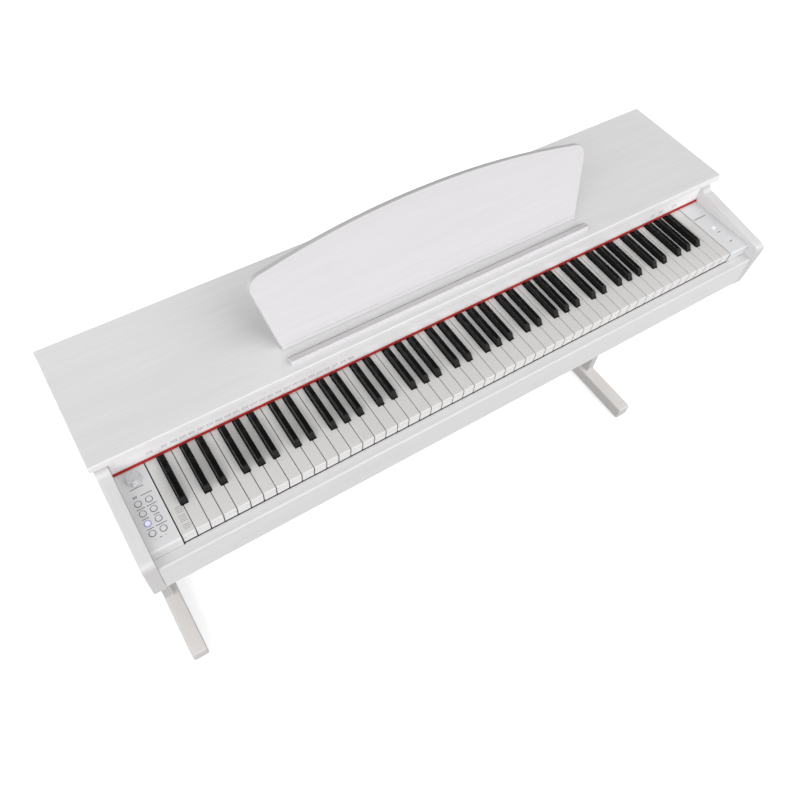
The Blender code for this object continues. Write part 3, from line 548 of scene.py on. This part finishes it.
def side_panels():
    """A rounded nose, a sloping top edge and a cove under the lid."""
    for word in ("left", "right"):
        node = f"side_panel_{word}"
        low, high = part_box(node)
        nose = arc((low[1] + NOSE_RADIUS, NOSE_HEIGHT), NOSE_RADIUS, 97, 180, 12)
        cove = arc(COVE_MIDDLE, COVE_RADIUS, 262, 360, 10)
        outline = [
            (low[1] + NOSE_SETBACK, low[2]),
            (high[1], low[2]),
            (high[1], high[2]),
            (cove[-1][0], high[2]),
            *reversed(cove),
            *nose,
        ]
        bm = bmesh.new()
        add_slab(bm, outline, lambda a, b, c: (low[0] + c, a, b), high[0] - low[0], 0.0016, 0.0016)
        piece(f"{node}_finish", bm, side_film, replaces=(node,), slot="white_board")


def lid():
    low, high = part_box("top_lid")
    outline = [
        *arc((high[1] - EDGE, high[2] - EDGE), EDGE, 0, 90, 3),
        *arc((low[1] + LID_BROW, high[2] - LID_BROW), LID_BROW, 90, 180, 6),
        *arc((low[1] + LID_CHIN, low[2] + LID_CHIN), LID_CHIN, 180, 270, 6),
        (high[1], low[2]),
    ]
    bm = bmesh.new()
    add_slab(bm, outline, lambda a, b, c: (high[0] - c, a, b), high[0] - low[0], LID_END, LID_END)
    piece("top_lid_finish", bm, lid_film, replaces=("top_lid",), slot="white_board")


def ledge():
    """The sheet stop: a crisp front, a top that falls towards the desk, and a dark strip along its back
    that is painted shade for the shadow behind the ledge.
    """
    low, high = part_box("music_ledge")
    edge = 0.0005
    back, brow = high[1] - LEDGE_SHADE_WIDTH, high[2] - LEDGE_FALL
    notch = brow - LEDGE_SHADE_DEPTH
    outline = [
        (high[1], notch),
        (back, notch),
        (back, brow),
        *arc((low[1] + edge, high[2] - edge), edge, 90, 180, 3),
        (low[1], low[2]),
        (high[1], low[2]),
    ]
    bm = bmesh.new()
    add_slab(bm, outline, lambda a, b, c: (high[0] - c, a, b), high[0] - low[0], 0.0002, 0.0002, 1)
    piece("music_ledge_finish", bm, ledge_film, replaces=("music_ledge",), slot="white_board")
    # a dark strip along the ledge's back: painted shade where there is only shadow
    bm = bmesh.new()
    add_block(bm, (low[0] + edge, back, notch), (high[0] - edge, high[1], brow), 0.0001, 1)
    piece("ledge_shade_strip", bm, dark_plastic, slot="dark_plastic")


def rail():
    """The front rail, and a thin lip behind it that stands close to the key fronts."""
    low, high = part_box("front_rail")
    outline = [
        *arc((high[1] - EDGE, high[2] - EDGE), EDGE, 0, 90, 3),
        *arc((low[1] + RAIL_BROW, high[2] - RAIL_BROW), RAIL_BROW, 90, 180, 5),
        *arc((low[1] + RAIL_CHIN, low[2] + RAIL_CHIN), RAIL_CHIN, 180, 270, 3),
        (high[1], low[2]),
    ]
    bm = bmesh.new()
    add_slab(bm, outline, lambda a, b, c: (high[0] - c, a, b), high[0] - low[0], 0.0002, 0.0002, 1)
    piece("front_rail_finish", bm, board_film, replaces=("front_rail",), slot="white_board")
    bm = bmesh.new()
    inner = KEY_HALF - 0.001
    upper = (inner, high[1] + LIP_THICK, high[2] + LIP_RISE)
    add_block(bm, (-inner, high[1], high[2] - LIP_DEPTH), upper, 0.0003)
    piece("rail_lip", bm, board_film, slot="white_board")


def felt_ribbon():
    """The felt strip: a soft edge with a slightly uneven nap."""
    low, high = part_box("felt_strip")
    low = low - Vector((0.0, FELT_SWELL, FELT_SAG))
    rng = random.Random(4)
    bm = bmesh.new()
    rings = []
    for k in range(FELT_STEPS + 1):
        x = low[0] + (high[0] - low[0]) * k / FELT_STEPS
        nap = [rng.uniform(0.0, NAP) for _ in range(6)]
        rings.append(
            [
                (x, high[1], low[2] + 0.0002),
                (x, low[1] + 0.0004, low[2] + nap[0]),
                (x, low[1] + nap[1], low[2] + 0.0008),
                (x, low[1] + nap[2], high[2] - 0.0010),
                (x, low[1] + 0.0005, high[2] - nap[3]),
                (x, high[1], high[2] - 0.0001),
            ]
        )
    add_rings(bm, rings)
    piece("felt_strip_finish", bm, felt, replaces=("felt_strip",), slot="felt", angle=80)


def desk_point(x, along, behind):
    """A point of the music desk: so far up its slope and so far behind its front face."""
    y = DESK_FOOT_Y + along * math.sin(DESK_TILT) + behind * math.cos(DESK_TILT)
    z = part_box("top_lid")[1][2] + along * math.cos(DESK_TILT) - behind * math.sin(DESK_TILT)
    return (x, y, z)


def music_desk():
    """An arched board with round corners, and a strip along its foot that slants down to the lid."""
    span = DESK_TOP_HALF - DESK_CORNER
    rise = DESK_CROWN - DESK_SHOULDER
    radius = (span**2 + rise**2) / (2 * rise)
    half_angle = math.degrees(math.asin(span / radius))
    crown = arc((0.0, DESK_CROWN - radius), radius, 90 - half_angle, 90 + half_angle, 60)
    right = arc((span, DESK_SHOULDER - DESK_CORNER), DESK_CORNER, -4, 84, 12)
    left = [(-x, s) for x, s in reversed(right)]
    corner = DESK_BOTTOM_CORNER
    foot = arc((DESK_BOTTOM_HALF - corner, DESK_BOTTOM + corner), corner, 270, 350, 4)
    outline = [*foot, *right, *crown[1:-1], *left, *[(-x, s) for x, s in reversed(foot)]]
    bm = bmesh.new()
    add_slab(bm, outline, desk_point, DESK_THICK, 0.0028, 0.0022, 4)
    piece("music_desk_finish", bm, desk_film, "music_desk", ("music_desk",), "white_board")
    half = DESK_BOTTOM_HALF - 0.001
    top = DESK_BOTTOM + 0.0012
    section = [(top, 0.0), (0.0010, 0.0), (0.0032, DESK_FOOT_THICK), (top, DESK_FOOT_THICK)]
    bm = bmesh.new()
    add_slab(bm, section, lambda a, b, c: desk_point(c - half, a, b), 2 * half, 0.0004, 0.0004, 2)
    piece("music_desk_foot", bm, desk_foot_film, "music_desk", slot="white_board")


# Keys ----------------------------------------------------------------------------------------------
KEY_BOX = (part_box("white_keys_bass")[0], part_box("white_keys_treble")[1])
KEYS_LEFT = KEY_BOX[0][0] - KEY_GAP / 2
KEY_FRONT = KEY_BOX[0][1]
KEY_BACK = KEY_BOX[1][1]
KEY_BOTTOM = KEY_BOX[0][2]
KEY_TOP = KEY_BOX[1][2]
BLACK_FRONT = KEY_FRONT + BLACK_SETBACK
BAR_FRONT = KEY_FRONT + BAR_SETBACK
CAP_END = KEY_FRONT + CAP_LENGTH


def white_index(note):
    """Place of a white key in the row, or of the white key below a black one."""
    octave, step = divmod(note - 12, 12)
    return octave * 7 + sum(1 for s in WHITE_STEPS if s <= step) - 6


def is_white(note):
    return note % 12 in WHITE_STEPS


def black_middle(note):
    """X of a black key's middle line."""
    return KEYS_LEFT + (white_index(note) + 1) * KEY_PITCH + BLACK_SHIFT[note % 12]


def rounded_rings(points, radii, low, high, steps=4):
    """Rings of a cap: each outline point has its inward direction and its own top rounding."""
    rings = [[(x, y, low) for (x, y), _ in points]]
    for k in range(steps + 1):
        t = math.radians(90 * k / steps)
        ring = []
        for ((x, y), (dx, dy)), radius in zip(points, radii):
            inward = radius * (1 - math.cos(t))
            ring.append((x + dx * inward, y + dy * inward, high - radius * (1 - math.sin(t))))
        rings.append(ring)
    return rings


def add_white_key(bm, note):
    """One white key: rounded top edges, a softer front edge, and notches for its black neighbours."""
    left = KEYS_LEFT + white_index(note) * KEY_PITCH + SEAM / 2
    right = left + KEY_PITCH - SEAM
    reach = BLACK_WIDTH / 2 + NOTCH_SIDE
    tail_left = left if note == LOWEST_NOTE or is_white(note - 1) else black_middle(note - 1) + reach
    tail_right = right if note == HIGHEST_NOTE or is_white(note + 1) else black_middle(note + 1) - reach
    notch = BLACK_FRONT - NOTCH_FRONT
    side, front, corner = WHITE_SIDE, WHITE_FRONT, WHITE_CORNER
    points, radii = [], []

    def add(x, y, dx, dy, radius):
        points.append(((x, y), (dx, dy)))
        radii.append(radius)

    add(left, KEY_FRONT + 0.006, 1, 0, side)
    add(left, KEY_FRONT + corner, 0.4, 1, front)
    add(left + corner * 0.3, KEY_FRONT + corner * 0.3, 0.35, 1, front)
    add(left + corner, KEY_FRONT, 0, 1, front)
    add(right - corner, KEY_FRONT, 0, 1, front)
    add(right - corner * 0.3, KEY_FRONT + corner * 0.3, -0.35, 1, front)
    add(right, KEY_FRONT + corner, -0.4, 1, front)
    add(right, KEY_FRONT + 0.006, -1, 0, side)
    if tail_right < right:
        add(right, notch - corner, -1, 0, side)
        add(right - corner, notch, -1, -1, side)
        add(tail_right + 0.0004, notch, -1, -1, side)
        add(tail_right, notch + 0.0004, -1, -1, side)
    add(tail_right, BAR_FRONT, -1, 0, side)
    add(tail_left, BAR_FRONT, 1, 0, side)
    if tail_left > left:
        add(tail_left, notch + 0.0004, 1, -1, side)
        add(tail_left - 0.0004, notch, 1, -1, side)
        add(left + corner, notch, 1, -1, side)
        add(left, notch - corner, 1, 0, side)
    add_rings(bm, rounded_rings(points, radii, KEY_BOTTOM, KEY_TOP))
    return tail_left, tail_right


def add_black_key(bm, note):
    """One black key: a body with upright sides, and a tapering cap with a sloping front."""
    x = black_middle(note)
    half, top_half = BLACK_WIDTH / 2, BLACK_TOP_WIDTH / 2
    low, high = KEY_TOP - BLACK_DEPTH, KEY_TOP + BLACK_RISE
    back = CAP_END
    edge, nose = BLACK_EDGE, BLACK_BROW
    rings = []

    def ring(half_width, front, height, corner):
        c = corner
        spots = [
            (half_width, front + c),
            (half_width - c * 0.3, front + c * 0.3),
            (half_width - c, front),
            (c - half_width, front),
            (c * 0.3 - half_width, front + c * 0.3),
            (-half_width, front + c),
            (-half_width, back),
            (half_width, back),
        ]
        rings.append([(x + dx, y, height) for dx, y in reversed(spots)])

    ring(half, BLACK_FRONT, low, 0.0006)
    ring(half, BLACK_FRONT, KEY_TOP + 0.0005, 0.0006)
    steps = 5
    for k in range(steps + 1):
        t = math.radians(90 * k / steps)
        part = (BLACK_RISE - nose * (1 - math.sin(t))) / BLACK_RISE
        width = half + (top_half - half) * min(1.0, part) - edge * (1 - math.cos(t)) * 0.85
        front = BLACK_FRONT + BLACK_NOSE * part - 0.0022 * (1 - math.sin(t))
        front += nose * (1 - math.cos(t)) * 0.4
        drop = edge * 1.4 * (1 - math.sin(t))
        ring(width, front, high - drop, 0.0012)
    add_rings(bm, rings)
    add_block(bm, (x - half, back - 0.001, low), (x + half, BAR_FRONT + 0.001, KEY_TOP), 0.0004)
    return x - half, x + half


def keys(node, notes):
    """A node's keys of one colour, joined by a bar at their hidden rear ends."""
    bm = bmesh.new()
    white = is_white(notes[0])
    spans = [(add_white_key if white else add_black_key)(bm, note) for note in notes]
    left, right = min(s[0] for s in spans), max(s[1] for s in spans)
    if white:
        low, high = (left, BAR_FRONT - 0.001, KEY_BOTTOM), (right, KEY_BACK, KEY_TOP - TAIL_DROP)
    else:
        low, high = (left, BAR_FRONT - 0.001, KEY_TOP - BLACK_TAIL_DEPTH), (right, KEY_BACK, KEY_TOP)
    add_block(bm, low, high, 0.0004)
    slot = "white_key" if white else "black_key"
    look = white_key if white else black_key
    piece(f"{node}_finish", bm, look, node, (node,), slot, angle=50)


def keyboard():
    """Single keys in the octave from middle C, and the keys below and above it in groups."""
    for note in range(MIDDLE_C, MIDDLE_C + 12):
        keys(f"key_{NOTE_NAMES[note % 12]}4", [note])
    for part, notes in (
        ("bass", range(LOWEST_NOTE, MIDDLE_C)),
        ("treble", range(MIDDLE_C + 12, HIGHEST_NOTE + 1)),
    ):
        keys(f"white_keys_{part}", [n for n in notes if is_white(n)])
        keys(f"black_keys_{part}", [n for n in notes if not is_white(n)])


# Controls ------------------------------------------------------------------------------------------
def middle(node):
    """X and Y of a node's middle."""
    low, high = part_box(node)
    return (low[0] + high[0]) / 2, (low[1] + high[1]) / 2


def button_radius(node):
    """A button's cap is narrower than the flange that holds it under the panel."""
    low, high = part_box(node)
    return (high[0] - low[0]) / 2 - FLANGE


def button(node, look, slot):
    """A round button: a dished cap with a rounded rim, on a flange under the panel."""
    low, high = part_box(node)
    radius = button_radius(node)
    rim = BUTTON_RIM
    plate = KEY_TOP - PANEL_WALL - 0.0003
    profile = [
        (0.0, low[2]),
        (radius + FLANGE, low[2]),
        (radius + FLANGE, plate),
        (radius, plate),
        *arc((radius - rim, high[2] - rim), rim, 0, 90, 4),
        (radius - 0.0012, high[2] - 0.00005),
        (radius * 0.5, high[2] - 0.00022),
        (0.0, high[2] - 0.00028),
    ]
    bm = bmesh.new()
    add_lathe(bm, profile, (*middle(node), 0.0), 40)
    piece(f"{node}_finish", bm, look, node, (node,), slot, angle=45)


def washer(bm, centre, inner, outer, low, high, segments=40, axis="z"):
    """A flat ring with a rounded outer edge."""
    turns = [2 * math.pi * k / segments for k in range(segments)]
    soft = min(outer - inner, high - low) * 0.4
    section = [(inner, low), (outer, low), (outer, high - soft), (outer - soft, high), (inner, high)]
    made = []
    for t in turns:
        ring = []
        for radius, height in section:
            a, b = radius * math.cos(t), radius * math.sin(t)
            local = {"z": (a, b, height), "y": (a, height, -b)}[axis]
            ring.append(bm.verts.new(Vector(centre) + Vector(local)))
        made.append(ring)
    for here, there in zip(made, made[1:] + made[:1]):
        for k in range(len(section)):
            j = (k + 1) % len(section)
            bm.faces.new((here[k], here[j], there[j], there[k]))


def panel_rings():
    """A dark bezel round each button, a glowing one round the lit button and a white one on the lock."""
    rings = {"panel_rings": (bmesh.new(), ring_plastic, "dark_plastic")}
    rings["lit_ring"] = (bmesh.new(), lit_violet, "lit_button")
    rings["lock_ring"] = (bmesh.new(), panel_plastic, "panel_plastic")
    for node in [*PANEL_BUTTONS, "lock_button"]:
        kind = {LIT_BUTTON: "lit_ring", "lock_button": "lock_ring"}.get(node, "panel_rings")
        radius = button_radius(node)
        inner, outer = radius + 0.0001, radius + RING_WIDTH
        washer(rings[kind][0], (*middle(node), KEY_TOP), inner, outer, -0.0004, 0.0003)
    for name, (bm, look, slot) in rings.items():
        piece(name, bm, look, slot=slot)


def knob():
    """A clear fluted knob with a hollow top and a dark pointer, over a bright metal core."""
    low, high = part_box("volume_knob")
    radius = (high[0] - low[0]) / 2
    base, top = KEY_TOP + 0.0006, high[2]
    profile = [
        (0.0, low[2]),
        (KNOB_SPINDLE, low[2]),
        (KNOB_SPINDLE, base),
        (radius - 0.0005, base),
        (radius, base + 0.0005),
        (radius - 0.0002, base + 0.0030),
        (radius - 0.0012, base + 0.0042),
        *arc((radius - 0.0036, top - 0.0024), 0.0024, 0, 80, 7),
        (radius - 0.0048, top - 0.0004),
        (radius * 0.35, top - 0.0012),
        (0.0, top - 0.0013),
    ]
    bm = bmesh.new()
    add_lathe(bm, profile, (*middle("volume_knob"), 0.0), 72)
    centre = Vector(middle("volume_knob"))
    for vert in bm.verts:
        spoke = vert.co.xy - centre
        if spoke.length > radius * 0.8 and vert.co.z > base:
            turn = math.atan2(spoke.y, spoke.x)
            depth = KNOB_FLUTE * (0.5 - 0.5 * math.cos(KNOB_FLUTES * turn))
            vert.co.xy = centre + spoke * (1 - depth / spoke.length)
    piece("volume_knob_finish", bm, clear_knob, "volume_knob", ("volume_knob",), "clear_knob")
    core = [(0.0, 0.0012), (0.0042, 0.0012), (0.0046, 0.0020)]
    core += [(0.0038, 0.0078), (0.0030, 0.0086), (0.0, 0.0088)]
    bm = bmesh.new()
    add_lathe(bm, core, (*middle("volume_knob"), KEY_TOP), 48)
    piece("volume_knob_core", bm, knob_core, "volume_knob", slot="steel")
    bm = bmesh.new()
    low_corner = (centre.x - 0.0003, centre.y + radius * 0.42, top - 0.0014)
    add_block(bm, low_corner, (centre.x + 0.0003, centre.y + radius * 0.66, top - 0.0001), 0.0001, 1)
    piece("volume_knob_pointer", bm, print_ink, "volume_knob", slot="dark_plastic")


def add_mark(bm, x, y, wide, deep):
    """A thin printed bar on the panels or a white key, which are level with each other."""
    low = (x - wide / 2, y - deep / 2, KEY_TOP - 0.0002)
    add_block(bm, low, (x + wide / 2, y + deep / 2, KEY_TOP + PRINT), 0.00005, 1)


def add_label(bm, rng, middle_x, y, wide, deep=LABEL_DEPTH):
    """A row of short plain dashes, as long as a printed label."""
    x = middle_x - wide / 2
    end = middle_x + wide / 2
    while x < end - 0.0008:
        dash = min(rng.uniform(0.0022, 0.0042), end - x)
        add_mark(bm, x + dash / 2, y, dash, deep)
        x += dash + DASH_GAP


def panel_marks():
    """Plain dashes in place of the printed labels, each set out from its own button or knob."""
    rng = random.Random(3)
    bm = bmesh.new()
    for node, wide in zip(PANEL_BUTTONS, LABEL_WIDTHS):
        x, y = middle(node)
        first = node in ("panel_button_1", "panel_button_5")
        add_label(bm, rng, x + 0.0004, y + (0.0120 if first else 0.0093), wide)
        if node == "panel_button_1":
            add_label(bm, rng, x, y + 0.0142, wide)
    x, y = middle("volume_knob")
    add_label(bm, rng, x - 0.0018, y - 0.0149, 0.0238)
    for dx, wide, deep in ((-0.0112, 0.0016, 0.0007), (-0.0020, 0.0038, 0.0011), (0.0062, 0.0016, 0.0007)):
        add_mark(bm, x + dx, y - 0.1124, wide, deep)
    right = middle("power_button")
    add_label(bm, rng, right[0] - 0.0030, right[1] + 0.0370, 0.0330, 0.0017)
    add_mark(bm, right[0] + 0.0015, right[1] - 0.0145, 0.0080, 0.0014)
    add_mark(bm, right[0] + 0.0040, right[1] - 0.0460, 0.0066, 0.0018)
    piece("panel_marks", bm, print_ink, slot="dark_plastic")


def key_marks():
    """Three groups of plain lines near the front of the lowest key."""
    rng = random.Random(11)
    bm = bmesh.new()
    for start, count in KEY_LINES:
        for k in range(count):
            wide = rng.uniform(0.0100, 0.0142)
            x = KEYS_LEFT + KEY_LINE_INSET + wide / 2
            add_mark(bm, x, KEY_FRONT + start - KEY_LINE_PITCH * k, wide, 0.0007)
    piece("key_marks", bm, pale_ink, "white_keys_bass", slot="dark_plastic")


def name_board_marks():
    """Groups of plain ticks in two rows, along the bass half of the name board and at its treble end."""
    rng = random.Random(7)
    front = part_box("name_board")[0][1]
    bm = bmesh.new()
    bass = [TICKS_START + TICKS_PITCH * k for k in range(TICKS_COUNT)]
    for start in (FIRST_TICKS, *bass, *TREBLE_TICKS):
        for row in TICK_ROWS:
            x = start
            for _ in range(3):
                wide = rng.uniform(0.0026, 0.0046)
                low = (x, front - PRINT, KEY_TOP + row - TICK_HALF_HEIGHT)
                add_block(bm, low, (x + wide, front + 0.0002, KEY_TOP + row + TICK_HALF_HEIGHT), 0.00005, 1)
                x += wide + TICK_GAP
    piece("name_board_marks", bm, print_ink, slot="dark_plastic")


def gap_shade_strips():
    """Dark strips beside each end key, and one under the key fronts, clear of pressed keys: dark sheets
    that are painted shade in these gaps.
    """
    bm = bmesh.new()
    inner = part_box("control_panel_right")[0][0]
    for side in (-1, 1):
        left, right = sorted((side * (inner - 0.0002), side * (inner - 0.0010)))
        low = (left, KEY_FRONT + 0.001, KEY_BOTTOM - 0.004)
        add_block(bm, low, (right, CAP_END, KEY_TOP - 0.0050), 0.0002, 1)
    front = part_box("front_rail")[1][1] + LIP_THICK + 0.0002
    under = KEY_BOTTOM - KEY_CLEARANCE
    add_block(bm, (-KEY_HALF, front, under - 0.008), (KEY_HALF, KEY_FRONT + 0.0055, under), 0.0002, 1)
    piece("gap_shade_strips", bm, black_key, slot="dark_plastic")


def controls():
    # dark strips that are painted shade in the gaps round the keys
    gap_shade_strips()
    for word in ("left", "right"):
        refined(f"control_panel_{word}", panel_plastic, "panel_plastic", edge=0.0009, steps=3)
    for node in PANEL_BUTTONS:
        lit = node == LIT_BUTTON
        button(node, lit_white if lit else panel_plastic, "lit_button" if lit else "panel_plastic")
    button("power_button", lit_white, "lit_button")
    button("lock_button", panel_plastic, "panel_plastic")
    panel_rings()
    knob()
    panel_marks()
    key_marks()
    name_board_marks()


# Hidden and lower parts ----------------------------------------------------------------------------
def add_screw(bm, spot, radius=0.0035, axis="y"):
    """A pan-head screw with a round recess, standing out from a face."""
    high, root = 0.0012, -0.0006
    profile = [(0.0, root), (radius, root), (radius, high * 0.4), (radius * 0.75, high * 0.85)]
    profile += [(radius * 0.3, high), (radius * 0.26, high * 0.2), (0.0, high * 0.15)]
    add_lathe(bm, profile, spot, 20, axis)


def screws():
    """Rows of screws that hold the case's back, the stand's back board and the desk's hinges."""
    bm = bmesh.new()
    low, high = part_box("case_back_panel")
    for k in range(7):
        x = low[0] + 0.03 + (high[0] - low[0] - 0.06) * k / 6
        for z in (low[2] + 0.012, high[2] - 0.012):
            add_screw(bm, (x, high[1], z))
    low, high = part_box("stand_back_board")
    for x in (low[0] + 0.018, high[0] - 0.018):
        for k in range(4):
            add_screw(bm, (x, high[1], low[2] + 0.03 + (high[2] - low[2] - 0.06) * k / 3))
    piece("back_screws", bm, steel, slot="steel")
    bm = bmesh.new()
    for word in ("left", "right"):
        low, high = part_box(f"desk_hinge_base_{word}")
        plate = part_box("top_lid")[1][2] + 0.0018
        for x in (low[0] + 0.0045, high[0] - 0.0045):
            add_screw(bm, (x, high[1] - 0.0075, plate), 0.0022, "z")
    piece("hinge_screws", bm, steel, slot="steel")


def socket_rims():
    """Metal collars on the round sockets and the headphone jacks."""
    bm = bmesh.new()
    low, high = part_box("connector_box")
    centre = (low[2] + high[2]) / 2
    for x, radius in SOCKETS:
        washer(bm, (x, high[1], centre), radius + 0.0002, radius + 0.0016, -0.0004, 0.0006, 32, "y")
    low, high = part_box("headphone_box")
    centre = (low[2] + high[2]) / 2
    for x, radius in JACKS:
        washer(bm, (x, low[1], centre), radius + 0.0002, radius + 0.0018, -0.0006, 0.0004, 32, "y")
    piece("socket_rims", bm, contact_metal, slot="pedal_metal")


def speaker_cones():
    """Paper cone with a rolled surround and a dust cap, hung inside each speaker's basket."""
    profile = [(0.0, 0.0110), (0.0145, 0.0106), (0.0165, 0.0119), (0.0440, 0.0033)]
    profile += arc((0.0480, 0.0024), 0.0024, 170, 20, 8)
    profile += [(0.0505, 0.0010), (0.0505, 0.0006), (0.0440, 0.0024), (0.0170, 0.0108), (0.0, 0.0098)]
    for word in ("left", "right"):
        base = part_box(f"speaker_{word}")[0][2]
        bm = bmesh.new()
        add_lathe(bm, profile, (*middle(f"speaker_{word}"), base), 48)
        piece(f"speaker_cone_{word}", bm, paper_cone, slot="dark_plastic")


def lower_parts():
    """The nodes below and behind the keyboard, each with its own solid finely rounded."""
    refined("key_bed", board_film, "white_board", edge=0.0008)
    refined("key_frame", dark_plastic, "dark_plastic", edge=0.0004)
    refined("pedal_box", board_film, "white_board", steps=3)
    for word in ("left", "right"):
        refined(f"speaker_{word}", dark_plastic, "dark_plastic", edge=0.0006)
        refined(f"desk_hinge_base_{word}", steel, "steel", edge=0.0003)
        refined(f"desk_hinge_leaf_{word}", steel, "steel", "music_desk", edge=0.0003)
    refined("main_circuit_board", circuit_board, "circuit_board", edge=0.0003)
    refined("connector_box", dark_plastic, "dark_plastic", steps=3)
    refined("headphone_box", dark_plastic, "dark_plastic", steps=3)
    refined("pedal_shaft", steel, "steel", edge=0.0004)
    for word in ("soft", "sostenuto", "damper"):
        refined(f"pedal_{word}", pedal_metal, "pedal_metal", f"pedal_{word}", edge=0.0016, steps=4)
    refined("pedal_box_adjuster", foot_rubber, "foot_rubber", "pedal_box_adjuster", edge=0.0006)
    screws()
    socket_rims()
    speaker_cones()


# Camera, lights and floor --------------------------------------------------------------------------
def soft_sun(name, azimuth, elevation, strength, spread):
    """A broad distant light. Azimuth 0 is the player's side and -90 the bass end."""
    a, e = math.radians(azimuth), math.radians(elevation)
    data = bpy.data.lights.new(name, "SUN")
    data.energy = strength
    data.angle = math.radians(spread)
    obj = bpy.data.objects.new(name, data)
    towards = Vector((math.cos(e) * math.sin(a), -math.cos(e) * math.cos(a), math.sin(e)))
    obj.location = towards * 4
    obj.rotation_euler = (-towards).to_track_quat("-Z", "Y").to_euler()
    bpy.context.scene.collection.objects.link(obj)


def camera():
    """A camera at the photo's angle, and colours shown as they are."""
    scene = bpy.context.scene
    scene.view_settings.view_transform = "Standard"
    data = bpy.data.cameras.new("camera")
    data.lens = CAMERA_LENS
    data.shift_x, data.shift_y = CAMERA_SHIFT
    obj = bpy.data.objects.new("camera", data)
    obj.location = CAMERA_AT
    obj.rotation_euler = [math.radians(a) for a in CAMERA_TURN]
    scene.collection.objects.link(obj)
    scene.camera = obj


def sky():
    """An even white surrounding, a little darker below the horizon."""
    world = bpy.data.worlds.new("studio")
    world.use_nodes = True
    tree = world.node_tree
    direction = tree.nodes.new("ShaderNodeTexCoord")
    split = tree.nodes.new("ShaderNodeSeparateXYZ")
    ramp = tree.nodes.new("ShaderNodeMapRange")
    ramp.inputs["From Min"].default_value = -HORIZON
    ramp.inputs["From Max"].default_value = HORIZON
    ramp.inputs["To Min"].default_value = GROUND
    ramp.inputs["To Max"].default_value = SKY
    tree.links.new(direction.outputs["Generated"], split.inputs[0])
    tree.links.new(split.outputs["Z"], ramp.inputs["Value"])
    tree.links.new(ramp.outputs["Result"], tree.nodes["Background"].inputs["Strength"])
    tree.nodes["Background"].inputs["Color"].default_value = (1.0, 1.0, 1.0, 1.0)
    bpy.context.scene.world = world


def floor():
    """A level sheet under the feet, wide enough to fill the view."""
    bm = bmesh.new()
    square = ((-1, -1), (1, -1), (1, 1), (-1, 1))
    bm.faces.new([bm.verts.new((x * FLOOR_REACH, y * FLOOR_REACH, -FLOOR_DROP)) for x, y in square])
    mesh = bpy.data.meshes.new("floor")
    bm.to_mesh(mesh)
    bm.free()
    mesh.materials.append(floor_look())
    obj = bpy.data.objects.new("floor", mesh)
    obj.visible_diffuse = False
    bpy.context.scene.collection.objects.link(obj)


side_panels()
lid()
rail()
felt_ribbon()
ledge()
for name in ("case_back_panel", "stand_back_board"):
    board(name, board_film)
board("name_board", name_film)
for name in ("leg_left", "leg_right"):
    board(name, leg_board)
for name in ("foot_left", "foot_right"):
    board(name, foot_board, FOOT_EDGE)
music_desk()
keyboard()
controls()
lower_parts()
camera()
sky()
for lamp in LAMPS:
    soft_sun(*lamp)
floor()
